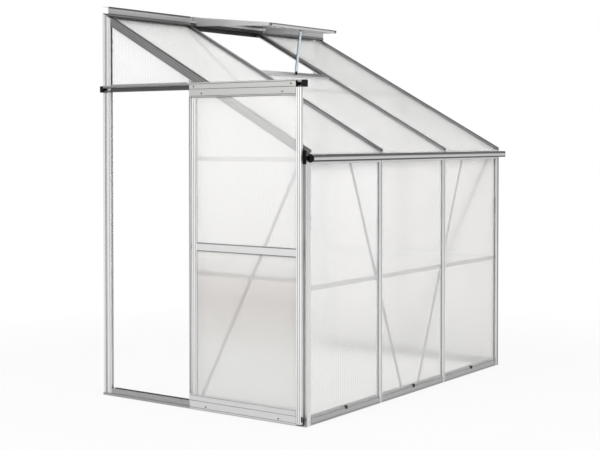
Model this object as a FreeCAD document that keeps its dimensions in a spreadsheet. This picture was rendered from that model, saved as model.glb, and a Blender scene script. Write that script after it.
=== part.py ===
import FreeCAD, Part
import os
import Sketcher

# A lean-to greenhouse that stands against a house wall. An aluminium frame holds twin-wall sheets,
# a roof vent is hinged at the ridge, and a door slides along the gable on two rollers.
#
# X runs along the greenhouse, from the gable with the door to the plain gable.
# Y runs from the front wall to the house wall, and Z runs up.
# The origin is on the ground, in the middle of the whole outline. Everything is in millimetres.

document = FreeCAD.newDocument("LeanToGreenhouse")
sheet = document.addObject("Spreadsheet::Sheet", "Sizes")
worked = document.addObject("App::VarSet", "Worked")

driving_sizes = (
    ("length", 1900, "frame, gable face to gable face"),
    ("depth", 1250, "frame, front face to house wall"),
    ("ridge_height", 1950, "ground to the top of the ridge rail"),
    ("eave_height", 1240, "ground to the roof bars at the front face"),
    ("metal", 2, "wall of the aluminium sections"),
    ("bar_cap", 22, "outer cap of a glazing bar, across"),
    ("bar_flange", 44, "inner flange of a glazing bar, across"),
    ("bar_web", 3, "web of a glazing bar"),
    ("sheet_setback", 10, "from the bar's outer face to the sheet's outer face"),
    ("sheet_thickness", 4, "twin-wall sheet"),
    ("sheet_skin", 0.4, "each skin of the twin-wall sheet"),
    ("flute_pitch", 16, "rib to rib inside the sheet"),
    ("channel_width", 14, "bolt channel on a bar's inner side"),
    ("channel_depth", 10, "bolt channel, from flange to lips"),
    ("channel_slot", 7, "gap between the channel's lips"),
    ("corner_leg", 36, "each leg of the corner sections"),
    ("sheet_play", 2, "from a sheet's edge to the web beside it"),
    ("wall_post_width", 52, "post against the house wall"),
    ("wall_post_groove", 12, "groove for the sheet in that post"),
    ("wall_flange", 50, "flange that is bolted to the house wall"),
    ("wall_hole_radius", 4, "fixing hole in the wall flange"),
    ("wall_hole_inset", 33, "fixing hole from the gable face"),
    ("wall_hole_low", 400, "lower fixing hole, from the ground"),
    ("wall_hole_high", 1500, "upper fixing hole, from the ground"),
    ("base_height", 38, "base rail"),
    ("base_ledge", 10, "underside of the ledge that carries the sheets"),
    ("anchor_radius", 3, "anchor hole in the base rail's foot"),
    ("anchor_spread", 1200, "anchor hole to anchor hole"),
    ("ridge_face", 50, "front leg of the ridge rail"),
    ("ridge_depth", 40, "ridge rail, front to wall"),
    ("ridge_back", 70, "rear leg of the ridge rail"),
    ("ridge_hole_drop", 56, "fixing hole below the top of the ridge rail"),
    ("ridge_hole_spread", 1200, "ridge fixing hole to fixing hole"),
    ("gutter_reach", 40, "gutter in front of the front face"),
    ("gutter_height", 33, "gutter"),
    ("gutter_drop", 20, "gutter rim below the eave height"),
    ("gutter_lip", 6, "turned-in rim of the gutter"),
    ("eave_skirt", 10, "skirt below the eave beam"),
    ("roof_overhang", 8, "roof sheets beyond the front face"),
    ("front_rail_height", 605, "ground to the front middle rail"),
    ("gable_rail_height", 640, "ground to the gable middle rail"),
    ("eave_rail_height", 1185, "ground to the gable's eave rail"),
    ("rail_width", 22, "stiffening rails"),
    ("strap_width", 20, "flat diagonal straps"),
    ("strap_thickness", 1.5, "flat diagonal straps"),
    ("strap_spread_top", 570, "front strap's top from the middle"),
    ("strap_spread_foot", 75, "front strap's foot from the middle"),
    ("purlin_back", 620, "purlin behind the front face"),
    ("jamb_back", 682, "door jamb behind the front face"),
    ("far_bar_back", 625, "plain gable's bar behind the front face"),
    ("track_top", 1552, "ground to the top of the door track"),
    ("track_height", 30, "door track"),
    ("track_depth", 22, "door track, out from the gable"),
    ("track_inset", 14, "door track's end behind the front face"),
    ("track_rail", 8, "running rail, above the track's underside"),
    ("track_rail_out", 15, "middle of the running rail from the gable"),
    ("track_lip", 8, "front lip of the track"),
    ("track_cap", 20, "end cap of the track"),
    ("door_span", 632, "sliding door over its two stiles"),
    ("door_width", 620, "top and foot plates of the sliding door"),
    ("door_gap", 9, "from the gable to the door's inner face"),
    ("door_depth", 16, "door stiles, in to out"),
    ("stile_width", 27, "door stiles"),
    ("stile_core", 12, "hollow part of a door stile, across"),
    ("slot_width", 4.6, "slot for the sheet in the door and vent"),
    ("door_foot", 12, "ground to the stiles' feet"),
    ("door_rest", 15, "open door from the front face"),
    ("header_height", 72, "door's top plate"),
    ("header_rise", 34, "door's top plate above the track's underside"),
    ("kick_foot", 8, "ground to the kick plate"),
    ("kick_height", 72, "kick plate"),
    ("lock_rail_low", 760, "ground to the door's middle rail"),
    ("lock_rail_height", 40, "door's middle rail"),
    ("sheet_bite", 10, "sheet inside a door or vent slot"),
    ("roller_radius", 7, "roller, at the bottom of its groove"),
    ("roller_flange", 9, "roller, at its flanges"),
    ("roller_width", 8, "roller"),
    ("roller_groove", 3, "groove in the roller"),
    ("roller_inset", 27, "roller from the end of the top plate"),
    ("roller_play", 0.3, "between the roller and its neighbours"),
    ("axle_radius", 3, "roller axle"),
    ("axle_play", 0.05, "around the roller axle and the vent's pins"),
    ("spacer_radius", 5, "spacer and head on the axle"),
    ("guide_out", 5, "middle of the guide lip from the gable"),
    ("guide_height", 12, "guide lip"),
    ("guide_play", 0.5, "beside the guide lip"),
    ("guide_length", 30, "bottom guide of the door"),
    ("guide_low", 5, "ground to the bottom guide"),
    ("guide_top", 26, "ground to the top of the bottom guide"),
    ("header_screw_in", 75, "lower screw of the top plate, from its end"),
    ("header_screw_up", 19, "that screw above the plate's foot"),
    ("kick_screw_in", 98, "screw of the foot plate, from its end"),
    ("kick_screw_up", 17, "that screw above the plate's foot"),
    ("screw_radius", 4, "screw heads"),
    ("screw_height", 3, "screw heads"),
    ("vent_width", 624, "roof vent"),
    ("vent_length", 515, "roof vent, hinge to free edge"),
    ("vent_rail", 24, "vent's rails, across"),
    ("vent_depth", 16, "vent's rails, in thickness"),
    ("vent_open_tilt", 6, "degrees below level as it stands propped"),
    ("vent_hinge_drop", 12, "hinge below the top of the ridge rail"),
    ("vent_pin_radius", 3, "vent's hinge pins"),
    ("vent_lug", 4, "hinge lugs on the ridge rail"),
    ("vent_lug_radius", 7, "round end of a hinge lug"),
    ("vent_play", 0.5, "beside the vent"),
    ("sill_screw_in", 60, "screw of the door sill, from the jamb's middle"),
    ("sill_screw_out", 180, "other screw of the door sill, from the wall post"),
    ("sill_screw_radius", 3, "screws of the door sill"),
    ("sill_back", 758, "vent's sill behind the front face"),
    ("sill_width", 34, "vent's sill, front to back"),
    ("sill_drop", 3, "top of the vent's sill below the roof bars' faces"),
    ("sill_front", 8, "solid front of the vent's sill, before its notch"),
    ("notch_width", 10, "notch in the vent's sill for the stay, along the sill"),
    ("notch_play", 0.6, "from the stay to the notch's front"),
    ("stay_width", 14, "vent's stay"),
    ("stay_thickness", 3, "vent's stay"),
    ("stay_pin_radius", 2.5, "pin that the stay turns on"),
    ("stay_pin_in", 22, "that pin from the vent's free edge"),
    ("stay_pin_drop", 13, "that pin below the vent's middle plane"),
    ("stay_foot", 26, "black foot of the stay"),
    ("stay_grip", 6, "foot below the sill's top"),
    ("clip_height", 86, "spring wire glazing clip"),
    ("clip_width", 12, "spring wire glazing clip"),
    ("clip_wire", 2, "spring wire glazing clip"),
    ("clip_bite", 3, "clip under a bar's cap"),
    ("bar_clip_height", 870, "ground to the clips on the front bars"),
    ("jamb_clip_low", 518, "ground to the lowest clip on the door jamb"),
    ("jamb_clip_middle", 882, "ground to the middle clip on the door jamb"),
    ("jamb_clip_high", 1277, "ground to the highest clip on the door jamb"),
    ("post_clip_height", 1709, "ground to the clip on the wall post"),
    ("cap_plate", 3, "black end caps"),
    ("foot_clip_width", 14, "black clips over the base rail"),
    ("foot_clip_hook", 12, "those clips, down the rail's face"),
    ("spout_radius", 14, "gutter outlet"),
    ("spout_bore", 11, "gutter outlet"),
    ("spout_length", 12, "gutter outlet"),
)


class Size:
    """A number together with the expression that binds it to the sheet."""

    def __init__(self, number, words):
        self.number = float(number)
        self.words = words

    def __add__(self, other):
        return Size(self.number + number_of(other), f"({self.words} + {words_of(other)})")

    def __sub__(self, other):
        return Size(self.number - number_of(other), f"({self.words} - {words_of(other)})")

    def __mul__(self, other):
        return Size(self.number * number_of(other), f"({self.words} * {words_of(other)})")

    def __truediv__(self, other):
        return Size(self.number / number_of(other), f"({self.words} / {words_of(other)})")

    def __radd__(self, other):
        return Size(number_of(other), words_of(other)) + self

    def __rsub__(self, other):
        return Size(number_of(other), words_of(other)) - self

    def __rmul__(self, other):
        return Size(number_of(other), words_of(other)) * self

    def __neg__(self):
        return Size(-self.number, f"(-{self.words})")


def number_of(value):
    return value.number if isinstance(value, Size) else float(value)


def words_of(value):
    return value.words if isinstance(value, Size) else f"({value})"


def keep(name, size):
    """Stores a worked-out size under its own name, bound to the sizes that it comes from."""
    worked.addProperty("App::PropertyFloat", name)
    worked.setExpression(name, words_of(size))
    return Size(number_of(size), f"Worked.{name}")


def calculated(name, words):
    """Stores a size that needs a root or an angle, and reads its number back."""
    worked.addProperty("App::PropertyFloat", name)
    worked.setExpression(name, words)
    document.recompute()
    return Size(getattr(worked, name), f"Worked.{name}")


class Table:
    """The driving sizes by name."""


size = Table()
for row, (alias, value, meaning) in enumerate(driving_sizes, start=1):
    sheet.set(f"A{row}", meaning)
    sheet.set(f"B{row}", str(value))
    sheet.setAlias(f"B{row}", alias)
    setattr(size, alias, Size(value, f"Sizes.{alias}"))
document.recompute()

# Where the main faces are. The door stands out from one gable and the gutter from the front,
# so the frame is set back by half of each to keep the origin in the middle of the outline.
door_reach = keep("door_reach", size.door_gap + size.door_depth + size.metal + size.screw_height)
near_x = keep("near_x", -(size.length - door_reach) / 2)
far_x = keep("far_x", near_x + size.length)
front_y = keep("front_y", -(size.depth - size.gutter_reach) / 2)
wall_y = keep("wall_y", front_y + size.depth)
bar_pitch = keep("bar_pitch", size.length / 3)
bar_places = {"near": near_x + bar_pitch, "far": far_x - bar_pitch}
middle_x = keep("middle_x", (near_x + far_x) / 2)

# Depths below a bar's outer face: the sheet lies on the seat, and the bolt channel is behind it.
seat = keep("seat", size.sheet_setback + size.sheet_thickness)
flange = keep("flange", seat + size.metal)
back = keep("back", flange + size.channel_depth)

# The roof line is the outer face of the roof bars.
ridge_inner = keep("ridge_inner", wall_y - size.ridge_depth + size.metal)
roof_rise = size.ridge_height - size.ridge_face - size.eave_height
slope = keep("slope", roof_rise / (ridge_inner - front_y))
secant = calculated("secant", "sqrt(1 + Worked.slope ^ 2)")

gutter_top = keep("gutter_top", size.eave_height - size.gutter_drop)
gutter_low = keep("gutter_low", gutter_top - size.gutter_height)
track_low = keep("track_low", size.track_top - size.track_height)
door_outer = keep("door_outer", near_x - size.door_gap - size.door_depth)
jamb_y = keep("jamb_y", front_y + size.jamb_back)
far_bar_y = keep("far_bar_y", front_y + size.far_bar_back)
post_front = keep("post_front", wall_y - size.wall_post_width)
sheet_edge = keep("sheet_edge", size.bar_web / 2 + size.sheet_play)
corner_edge = keep("corner_edge", flange + size.sheet_play)


def roof(y, depth=0):
    """Height of the roof at y, at a depth below the roof line that is measured square to it."""
    return size.eave_height + slope * (y - front_y) - secant * depth


nodes = []
plane_of_run = {"X": "YZ_Plane", "Y": "XZ_Plane", "Z": "XY_Plane"}


def place(thing, x, y, z):
    for axis, value in zip("xyz", (x, y, z)):
        thing.setExpression(f"Placement.Base.{axis}", words_of(value))


def body(label, at=(0, 0, 0)):
    made = document.addObject("PartDesign::Body", label)
    made.Label = label
    place(made, *at)
    return made


def node(thing, label=None):
    """Marks a finished sub-part, which is written to a file of its own."""
    if label:
        thing.Label = label
    nodes.append(thing)
    return thing


def group(label, members):
    """Several like pieces that are kept as one sub-part."""
    made = document.addObject("Part::Compound", label)
    made.Links = members
    return node(made, label)


def origin_plane(owner, role):
    return next(feature for feature in owner.Origin.OriginFeatures if feature.Role == role)


def trace(sketch, loop):
    """Draws one closed outline, with both coordinates of every corner bound to the sizes."""
    first = sketch.GeometryCount
    corners = [FreeCAD.Vector(number_of(across), number_of(up), 0) for across, up in loop]
    for start, end in zip(corners, corners[1:] + corners[:1]):
        sketch.addGeometry(Part.LineSegment(start, end), False)
    for index in range(len(loop)):
        after = first + (index + 1) % len(loop)
        sketch.addConstraint(Sketcher.Constraint("Coincident", first + index, 2, after, 1))
    for index, corner in enumerate(loop):
        for kind, value in zip(("DistanceX", "DistanceY"), corner):
            rule = Sketcher.Constraint(kind, -1, 1, first + index, 1, number_of(value))
            number = sketch.addConstraint(rule)
            sketch.setExpression(f"Constraints[{number}]", words_of(value))


def drawing(owner, name, plane, loops, lift=0):
    sketch = owner.newObject("Sketcher::SketchObject", f"{owner.Name}_{name}_outline")
    sketch.AttachmentSupport = [(origin_plane(owner, plane), "")]
    sketch.MapMode = "FlatFace"
    sketch.setExpression("AttachmentOffset.Base.z", words_of(lift))
    for loop in loops:
        trace(sketch, loop)
    return sketch


def run(owner, name, axis, loops, start, length):
    """Extrudes outlines along an axis of the body, from start. They are drawn in the other two."""
    lift = -start if axis == "Y" else start
    sketch = drawing(owner, name, plane_of_run[axis], loops, lift)
    pad = owner.newObject("PartDesign::Pad", f"{owner.Name}_{name}")
    pad.Profile = sketch
    pad.Reversed = axis == "Y"
    pad.setExpression("Length", words_of(length))
    return pad


def slanted_run(owner, name, loops, start, length):
    """Extrudes upright outlines up the roof slope, which leaves both ends plumb."""
    sketch = drawing(owner, name, "XZ_Plane", loops, -start)
    pad = owner.newObject("PartDesign::Pad", f"{owner.Name}_{name}")
    pad.Profile = sketch
    pad.UseCustomVector = True
    pad.Direction = FreeCAD.Vector(0, 1, slope.number)
    pad.setExpression("Direction.z", slope.words)
    pad.AlongSketchNormal = True
    pad.setExpression("Length", words_of(length))
    return pad


def extrusion(label, axis, loops, length, at):
    """A straight length of one section."""
    made = body(label, at)
    run(made, "section", axis, loops, 0, length)
    return made


def cut_to_roof(owner, depth, at, low_y, high_y):
    """Cuts off what stands above the roof line's depth, between two places along Y."""
    top = size.ridge_height + size.metal
    corners = [(low_y, roof(low_y, depth)), (high_y, roof(high_y, depth)), (high_y, top), (low_y, top)]
    loop = [(y - at[1], z - at[2]) for y, z in corners]
    sketch = drawing(owner, "roof_cut", "YZ_Plane", [loop])
    pocket = owner.newObject("PartDesign::Pocket", f"{owner.Name}_roof_cut")
    pocket.Profile = sketch
    pocket.Type = "ThroughAll"
    pocket.Midplane = True
    return pocket


def box(name, lengths, at):
    made = document.addObject("Part::Box", name)
    for side, value in zip(("Length", "Width", "Height"), lengths):
        made.setExpression(side, words_of(value))
    place(made, *at)
    return made


turn_of_axis = {
    "X": FreeCAD.Rotation(FreeCAD.Vector(0, 1, 0), 90),
    "Y": FreeCAD.Rotation(FreeCAD.Vector(1, 0, 0), -90),
    "Z": FreeCAD.Rotation(),
}


def rod(name, axis, radius, length, at):
    """A round bar that starts at a point and runs along an axis."""
    made = document.addObject("Part::Cylinder", name)
    made.setExpression("Radius", words_of(radius))
    made.setExpression("Height", words_of(length))
    made.Placement = FreeCAD.Placement(FreeCAD.Vector(), turn_of_axis[axis])
    place(made, *at)
    return made


def fused(name, members):
    made = document.addObject("Part::MultiFuse", name)
    made.Shapes = members
    made.Refine = True
    return made


def holed(name, base, tool):
    made = document.addObject("Part::Cut", name)
    made.Base = base
    made.Tool = tool
    return made


def rectangle(low_a, low_b, high_a, high_b):
    return [(low_a, low_b), (high_a, low_b), (high_a, high_b), (low_a, high_b)]


def mapped(loops, change):
    return [[change(across, depth) for across, depth in loop] for loop in loops]


# Sections. Across is measured from the section's middle or corner, depth from its outer face.


def bar_section():
    """Cap, web, flange and bolt channel of a glazing bar."""
    cap = size.bar_cap / 2
    web = size.bar_web / 2
    edge = size.bar_flange / 2
    leg = size.channel_width / 2
    slot = size.channel_slot / 2
    half = [
        (cap, 0),
        (cap, size.metal),
        (web, size.metal),
        (web, seat),
        (edge, seat),
        (edge, flange),
        (leg, flange),
        (leg, back),
        (slot, back),
        (slot, back - size.metal),
        (leg - size.metal, back - size.metal),
        (leg - size.metal, flange),
    ]
    return [half + [(-across, depth) for across, depth in reversed(half)]]


def corner_section():
    """Two legs with a hollow core in the corner, and a groove for the sheet beside each leg."""
    leg, wall = size.corner_leg, size.metal
    outline = [
        (0, 0),
        (leg, 0),
        (leg, wall),
        (flange, wall),
        (flange, seat),
        (leg, seat),
        (leg, flange),
        (flange, flange),
        (flange, leg),
        (seat, leg),
        (seat, flange),
        (wall, flange),
        (wall, leg),
        (0, leg),
    ]
    return [outline, rectangle(wall, wall, seat, seat)]


def wall_post_section():
    """Depth from the gable face against distance from the house wall."""
    wall, width = size.metal, size.wall_post_width
    web = width - size.wall_post_groove
    shadow = width / 2
    return [
        [
            (0, 0),
            (size.wall_flange, 0),
            (size.wall_flange, wall),
            (wall, wall),
            (wall, web - wall),
            (flange, web - wall),
            (flange, width),
            (seat, width),
            (seat, web),
            (wall, web),
            (wall, width),
            (0, width),
            (0, shadow + wall / 2),
            (wall / 2, shadow + wall / 2),
            (wall / 2, shadow - wall / 2),
            (0, shadow - wall / 2),
        ]
    ]


def base_section(toe_start):
    """Depth from the front face against height. A ledge carries the sheets, a foot is anchored."""
    wall, ledge = size.metal, size.base_ledge
    outline = [
        (toe_start, 0),
        (size.corner_leg, 0),
        (size.corner_leg, wall),
        (back, wall),
        (back, size.base_height),
        (back - wall, size.base_height),
        (back - wall, ledge + wall),
        (flange + wall, ledge + wall),
        (flange + wall, 2 * ledge),
        (flange, 2 * ledge),
        (flange, ledge + wall),
        (2 * wall, ledge + wall),
        (2 * wall, size.base_height),
        (wall, size.base_height),
    ]
    if toe_start is not wall:
        outline += [(wall, wall), (toe_start, wall)]
    return [outline, rectangle(2 * wall, wall, back - wall, ledge)]


def angle_section():
    """A stiffening rail behind the flanges, as depth against height."""
    wall, tall = size.metal, size.rail_width
    return [
        [
            (flange, 0),
            (flange + wall, 0),
            (flange + wall, tall - wall),
            (back, tall - wall),
            (back, tall),
            (flange, tall),
        ]
    ]


def edge_section(width, core, depth):
    """A hollow edge rail with a slot for the sheet. Across runs from its outer edge inwards."""
    wall = size.metal
    lip = wall + size.slot_width
    outline = [
        (0, 0),
        (width, 0),
        (width, wall),
        (core, wall),
        (core, lip),
        (width, lip),
        (width, lip + wall),
        (core, lip + wall),
        (core, depth),
        (0, depth),
    ]
    return [outline, rectangle(wall, wall, core - wall, depth - wall)]


def lock_rail_section():
    """The door's middle rail, with a slot for a sheet above and below, as depth against height."""
    wall, tall = size.metal, size.lock_rail_height
    lip = wall + size.slot_width
    low = tall / 4
    high = tall - low
    outline = [
        (0, 0),
        (wall, 0),
        (wall, low),
        (lip, low),
        (lip, 0),
        (lip + wall, 0),
        (lip + wall, low),
        (size.door_depth, low),
        (size.door_depth, high),
        (lip + wall, high),
        (lip + wall, tall),
        (lip, tall),
        (lip, high),
        (wall, high),
        (wall, tall),
        (0, tall),
    ]
    hole = rectangle(wall, low + wall, size.door_depth - wall, high - wall)
    return [outline, hole]


# Twin-wall sheets. One flute is cut and then repeated across the sheet.


def fluted(owner, plane, across_axis, width, thickness, slanted=False):
    """Cuts the hollow flutes. The sheet's section starts at the body's own origin."""
    skin = size.sheet_skin * (thickness / size.sheet_thickness)
    first = (size.sheet_skin, size.flute_pitch, skin, thickness - skin)
    count = int((number_of(width) - size.sheet_skin.number) // size.flute_pitch.number)
    if across_axis == "first":
        loop = rectangle(first[0], first[2], first[1], first[3])
    else:
        loop = rectangle(first[2], first[0], first[3], first[1])
    sketch = drawing(owner, "flute", plane, [loop])
    pocket = owner.newObject("PartDesign::Pocket", f"{owner.Name}_flute")
    pocket.Profile = sketch
    pocket.Type = "ThroughAll"
    pocket.Midplane = True
    if slanted:
        pocket.UseCustomVector = True
        pocket.Direction = FreeCAD.Vector(0, 1, slope.number)
        pocket.setExpression("Direction.z", slope.words)
        pocket.AlongSketchNormal = True
    pattern = owner.newObject("PartDesign::LinearPattern", f"{owner.Name}_flutes")
    pattern.Originals = [pocket]
    pattern.Direction = (sketch, ["H_Axis" if across_axis == "first" else "V_Axis"])
    pattern.setExpression("Length", words_of(size.flute_pitch * (count - 1)))
    pattern.Occurrences = count
    owner.Tip = pattern
    return pattern


def upright_sheet(label, across, width, height, at):
    """A sheet that stands upright, with its flutes upright. Across is X or Y."""
    thickness = size.sheet_thickness
    made = body(label, at)
    loop = rectangle(0, 0, width, thickness) if across == "X" else rectangle(0, 0, thickness, width)
    run(made, "sheet", "Z", [loop], 0, height)
    fluted(made, "XY_Plane", "first" if across == "X" else "second", width, thickness)
    return made


def roof_sheet(label, low_x, high_x, low_y, high_y):
    """A sheet in the roof, with its flutes down the slope."""
    low_z = roof(low_y, seat)
    thickness = keep(f"{label}_plumb", secant * size.sheet_thickness)
    made = body(label, (low_x, low_y, low_z))
    slanted_run(made, "sheet", [rectangle(0, 0, high_x - low_x, thickness)], 0, high_y - low_y)
    fluted(made, "XZ_Plane", "first", high_x - low_x, thickness, slanted=True)
    return node(made)


# Base rails and posts. A gable's pieces are drawn from its own face inwards, so the near gable
# counts along +X and the far gable along -X.

gables = {"near": (near_x, 1), "far": (far_x, -1)}
rail_start = keep("rail_start", front_y + size.corner_leg)

base_front = extrusion(
    "base_rail_front",
    "X",
    base_section(size.metal),
    size.length - 2 * size.corner_leg,
    (near_x + size.corner_leg, front_y, 0),
)
anchor_y = keep("anchor_y", front_y + (back + size.corner_leg) / 2)
anchors = []
for side, way in (("near", -1), ("far", 1)):
    anchors.append(
        rod(
            f"anchor_hole_{side}",
            "Z",
            size.anchor_radius,
            3 * size.metal,
            (way * size.anchor_spread / 2 + middle_x, anchor_y, -size.metal),
        )
    )
base_front.Label = "base_rail_front_section"
anchor_pair = document.addObject("Part::Compound", "anchor_holes")
anchor_pair.Links = anchors
node(holed("base_rail_front_holed", base_front, anchor_pair), "base_rail_front")

node(
    extrusion(
        "base_rail_far_gable",
        "Y",
        mapped(base_section(size.metal), lambda depth, height: (-depth, height)),
        post_front - rail_start,
        (far_x, rail_start, 0),
    )
)

# The door's sill is the near gable's base rail, with an upright lip outside that guides the door.
door_sill = body("door_sill", (near_x, 0, 0))
run(door_sill, "base", "Y", base_section(0 * size.metal), rail_start, post_front - rail_start)
guide_outer = size.guide_out + size.metal / 2
guide_inner = size.guide_out - size.metal / 2
run(
    door_sill,
    "guide",
    "Y",
    [
        [
            (-guide_outer, 0),
            (0, 0),
            (0, size.base_height),
            (-size.metal, size.base_height),
            (-size.metal, size.metal),
            (-guide_inner, size.metal),
            (-guide_inner, size.guide_height),
            (-guide_outer, size.guide_height),
        ]
    ],
    front_y,
    size.depth,
)
node(door_sill)

for name, (face_x, inward) in gables.items():
    at = (face_x, front_y, 0)
    corner_post = body(f"corner_post_{name}", at)
    loops = mapped(corner_section(), lambda across, depth: (inward * across, depth))
    run(corner_post, "section", "Z", loops, 0, size.eave_height)
    post_end = front_y + size.corner_leg + size.metal
    cut_to_roof(corner_post, size.corner_leg, at, front_y - size.metal, post_end)
    node(corner_post)

for name, (face_x, inward) in gables.items():
    at = (face_x, wall_y, 0)
    wall_post = body(f"wall_post_{name}", at)
    loops = mapped(wall_post_section(), lambda depth, away: (inward * depth, -away))
    run(wall_post, "section", "Z", loops, 0, size.ridge_height - size.metal)
    cut_to_roof(wall_post, size.metal, at, post_front - size.metal, wall_y + size.metal)
    flange_cut = drawing(
        wall_post,
        "ridge_cut",
        "XZ_Plane",
        [
            rectangle(
                inward * (flange + size.metal),
                size.ridge_height - size.ridge_back,
                inward * (size.wall_flange + size.metal),
                size.ridge_height,
            )
        ],
    )
    ridge_cut = wall_post.newObject("PartDesign::Pocket", f"wall_post_{name}_ridge_cut")
    ridge_cut.Profile = flange_cut
    ridge_cut.Type = "ThroughAll"
    ridge_cut.Midplane = True
    wall_post.Label = f"wall_post_{name}_section"
    holes = document.addObject("Part::Compound", f"wall_holes_{name}")
    holes.Links = [
        rod(
            f"wall_hole_{name}_{level}",
            "Y",
            size.wall_hole_radius,
            3 * size.metal,
            (face_x + inward * size.wall_hole_inset, wall_y - 2 * size.metal, height),
        )
        for level, height in (("low", size.wall_hole_low), ("high", size.wall_hole_high))
    ]
    node(holed(f"wall_post_{name}_holed", wall_post, holes), f"wall_post_{name}")

# Glazing bars. The cap laps the base rail's face, and the rest stands on the rail.


def glazing_bar(label, loops, cap_loop, at, top=None, roof_span=None):
    bar = body(label, at)
    core_top = top - size.eave_skirt if top else size.ridge_height
    cap_top = top if top else size.ridge_height
    run(bar, "section", "Z", loops, size.base_height, core_top - size.base_height)
    run(bar, "cap", "Z", cap_loop, size.metal, cap_top - size.metal)
    if roof_span:
        cut_to_roof(bar, size.corner_leg, at, *roof_span)
    return node(bar)


cap_rectangle = [rectangle(-size.bar_cap / 2, 0, size.bar_cap / 2, size.metal)]
for name, bar_x in bar_places.items():
    glazing_bar(f"front_bar_{name}", bar_section(), cap_rectangle, (bar_x, front_y, 0), top=gutter_low)

gable_bars = {
    "near": ("door_jamb", near_x, 1, jamb_y),
    "far": ("far_gable_bar", far_x, -1, far_bar_y),
}
for name, (label, face_x, inward, bar_y) in gable_bars.items():
    glazing_bar(
        label,
        mapped(bar_section(), lambda across, depth: (inward * depth, across)),
        mapped(cap_rectangle, lambda across, depth: (inward * depth, across)),
        (face_x, bar_y, 0),
        roof_span=(bar_y - size.bar_flange, bar_y + size.bar_flange),
    )

# Eave: a gutter along the whole front, and a beam behind it between the corner posts.
# The gutter's floor, front wall and rear wall are laid face to face as three pieces.
gutter_floor = gutter_low + size.metal
gutter_rim = gutter_top - size.metal
gutter_walls = {
    "floor": rectangle(-size.gutter_reach, gutter_low, 0, gutter_floor),
    "rear": rectangle(-size.metal, gutter_floor, 0, gutter_top),
    "front": [
        (-size.gutter_reach, gutter_floor),
        (size.metal - size.gutter_reach, gutter_floor),
        (size.metal - size.gutter_reach, gutter_rim),
        (size.gutter_lip - size.gutter_reach, gutter_rim),
        (size.gutter_lip - size.gutter_reach, gutter_top),
        (-size.gutter_reach, gutter_top),
    ],
}
gutter_at = (near_x, front_y, 0)
group(
    "gutter",
    [
        extrusion(f"gutter_{wall}", "X", [loop], size.length, gutter_at)
        for wall, loop in gutter_walls.items()
    ],
)
beam_top = keep("beam_top", roof(front_y + back - size.metal, back))
node(
    extrusion(
        "eave_beam",
        "X",
        [
            [
                (0, gutter_low),
                (size.metal, gutter_low),
                (size.metal, gutter_low - size.eave_skirt),
                (2 * size.metal, gutter_low - size.eave_skirt),
                (2 * size.metal, gutter_low),
                (flange, gutter_low),
                (flange, gutter_low - size.eave_skirt),
                (flange + size.metal, gutter_low - size.eave_skirt),
                (flange + size.metal, gutter_low),
                (back, gutter_low),
                (back, beam_top),
                (back - size.metal, beam_top),
                (back - size.metal, gutter_low + size.metal),
                (0, gutter_low + size.metal),
            ]
        ],
        size.length - 2 * size.corner_leg,
        (near_x + size.corner_leg, front_y, 0),
    )
)

# Ridge rail: a cover over the rafters' ends, a rear leg against the wall, and the vent's hinge lugs.
# The hinge stands out far enough for the corner of the vent's square nose to turn past the ridge.
half_diagonal = 0.71
hinge_out = keep("hinge_out", half_diagonal * size.vent_depth + 3 * size.vent_play)
hinge_y = keep("hinge_y", wall_y - size.ridge_depth - hinge_out)
hinge_z = keep("hinge_z", size.ridge_height - size.vent_hinge_drop)
ridge = body("ridge_rail_section", (near_x, wall_y, size.ridge_height))
run(
    ridge,
    "cover",
    "X",
    [
        [
            (0, 0),
            (-size.ridge_depth, 0),
            (-size.ridge_depth, -size.ridge_face),
            (size.metal - size.ridge_depth, -size.ridge_face),
            (size.metal - size.ridge_depth, -size.metal),
            (0, -size.metal),
        ]
    ],
    0,
    size.length,
)
run(
    ridge,
    "rear",
    "X",
    [rectangle(-size.metal, -size.ridge_back, 0, 0)],
    size.wall_flange,
    size.length - 2 * size.wall_flange,
)
lug_out = size.vent_width / 2 + size.vent_play
ridge_parts = [ridge]
ridge_holes = []
for name, way in (("near", -1), ("far", 1)):
    low_x = middle_x + lug_out if way > 0 else middle_x - lug_out - size.vent_lug
    arm = box(
        f"hinge_arm_{name}",
        (size.vent_lug, hinge_out, 2 * size.vent_lug_radius),
        (low_x, hinge_y, hinge_z - size.vent_lug_radius),
    )
    eye = rod(f"hinge_eye_{name}", "X", size.vent_lug_radius, size.vent_lug, (low_x, hinge_y, hinge_z))
    hole_start = (low_x - size.metal, hinge_y, hinge_z)
    pin_hole = size.vent_pin_radius + size.axle_play
    hole_length = size.vent_lug + 2 * size.metal
    ridge_holes.append(rod(f"hinge_hole_{name}", "X", pin_hole, hole_length, hole_start))
    ridge_parts += [arm, eye]
    ridge_holes.append(
        rod(
            f"ridge_hole_{name}",
            "Y",
            size.wall_hole_radius,
            3 * size.metal,
            (
                middle_x + way * size.ridge_hole_spread / 2,
                wall_y - 2 * size.metal,
                size.ridge_height - size.ridge_hole_drop,
            ),
        )
    )
ridge_solid = fused("ridge_rail_solid", ridge_parts)
ridge_tools = document.addObject("Part::Compound", "ridge_holes")
ridge_tools.Links = ridge_holes
node(holed("ridge_rail_holed", ridge_solid, ridge_tools), "ridge_rail")

# Rafters. Their outlines are upright, so depths below the roof line are stretched by the secant.
rafter_length = keep("rafter_length", size.depth - size.metal)
eave_point = (front_y, size.eave_height)
for name, bar_x in bar_places.items():
    rafter = body(f"rafter_{name}", (bar_x, *eave_point))
    loops = mapped(bar_section(), lambda across, depth: (across, -secant * depth))
    slanted_run(rafter, "section", loops, 0, rafter_length)
    node(rafter)

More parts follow.
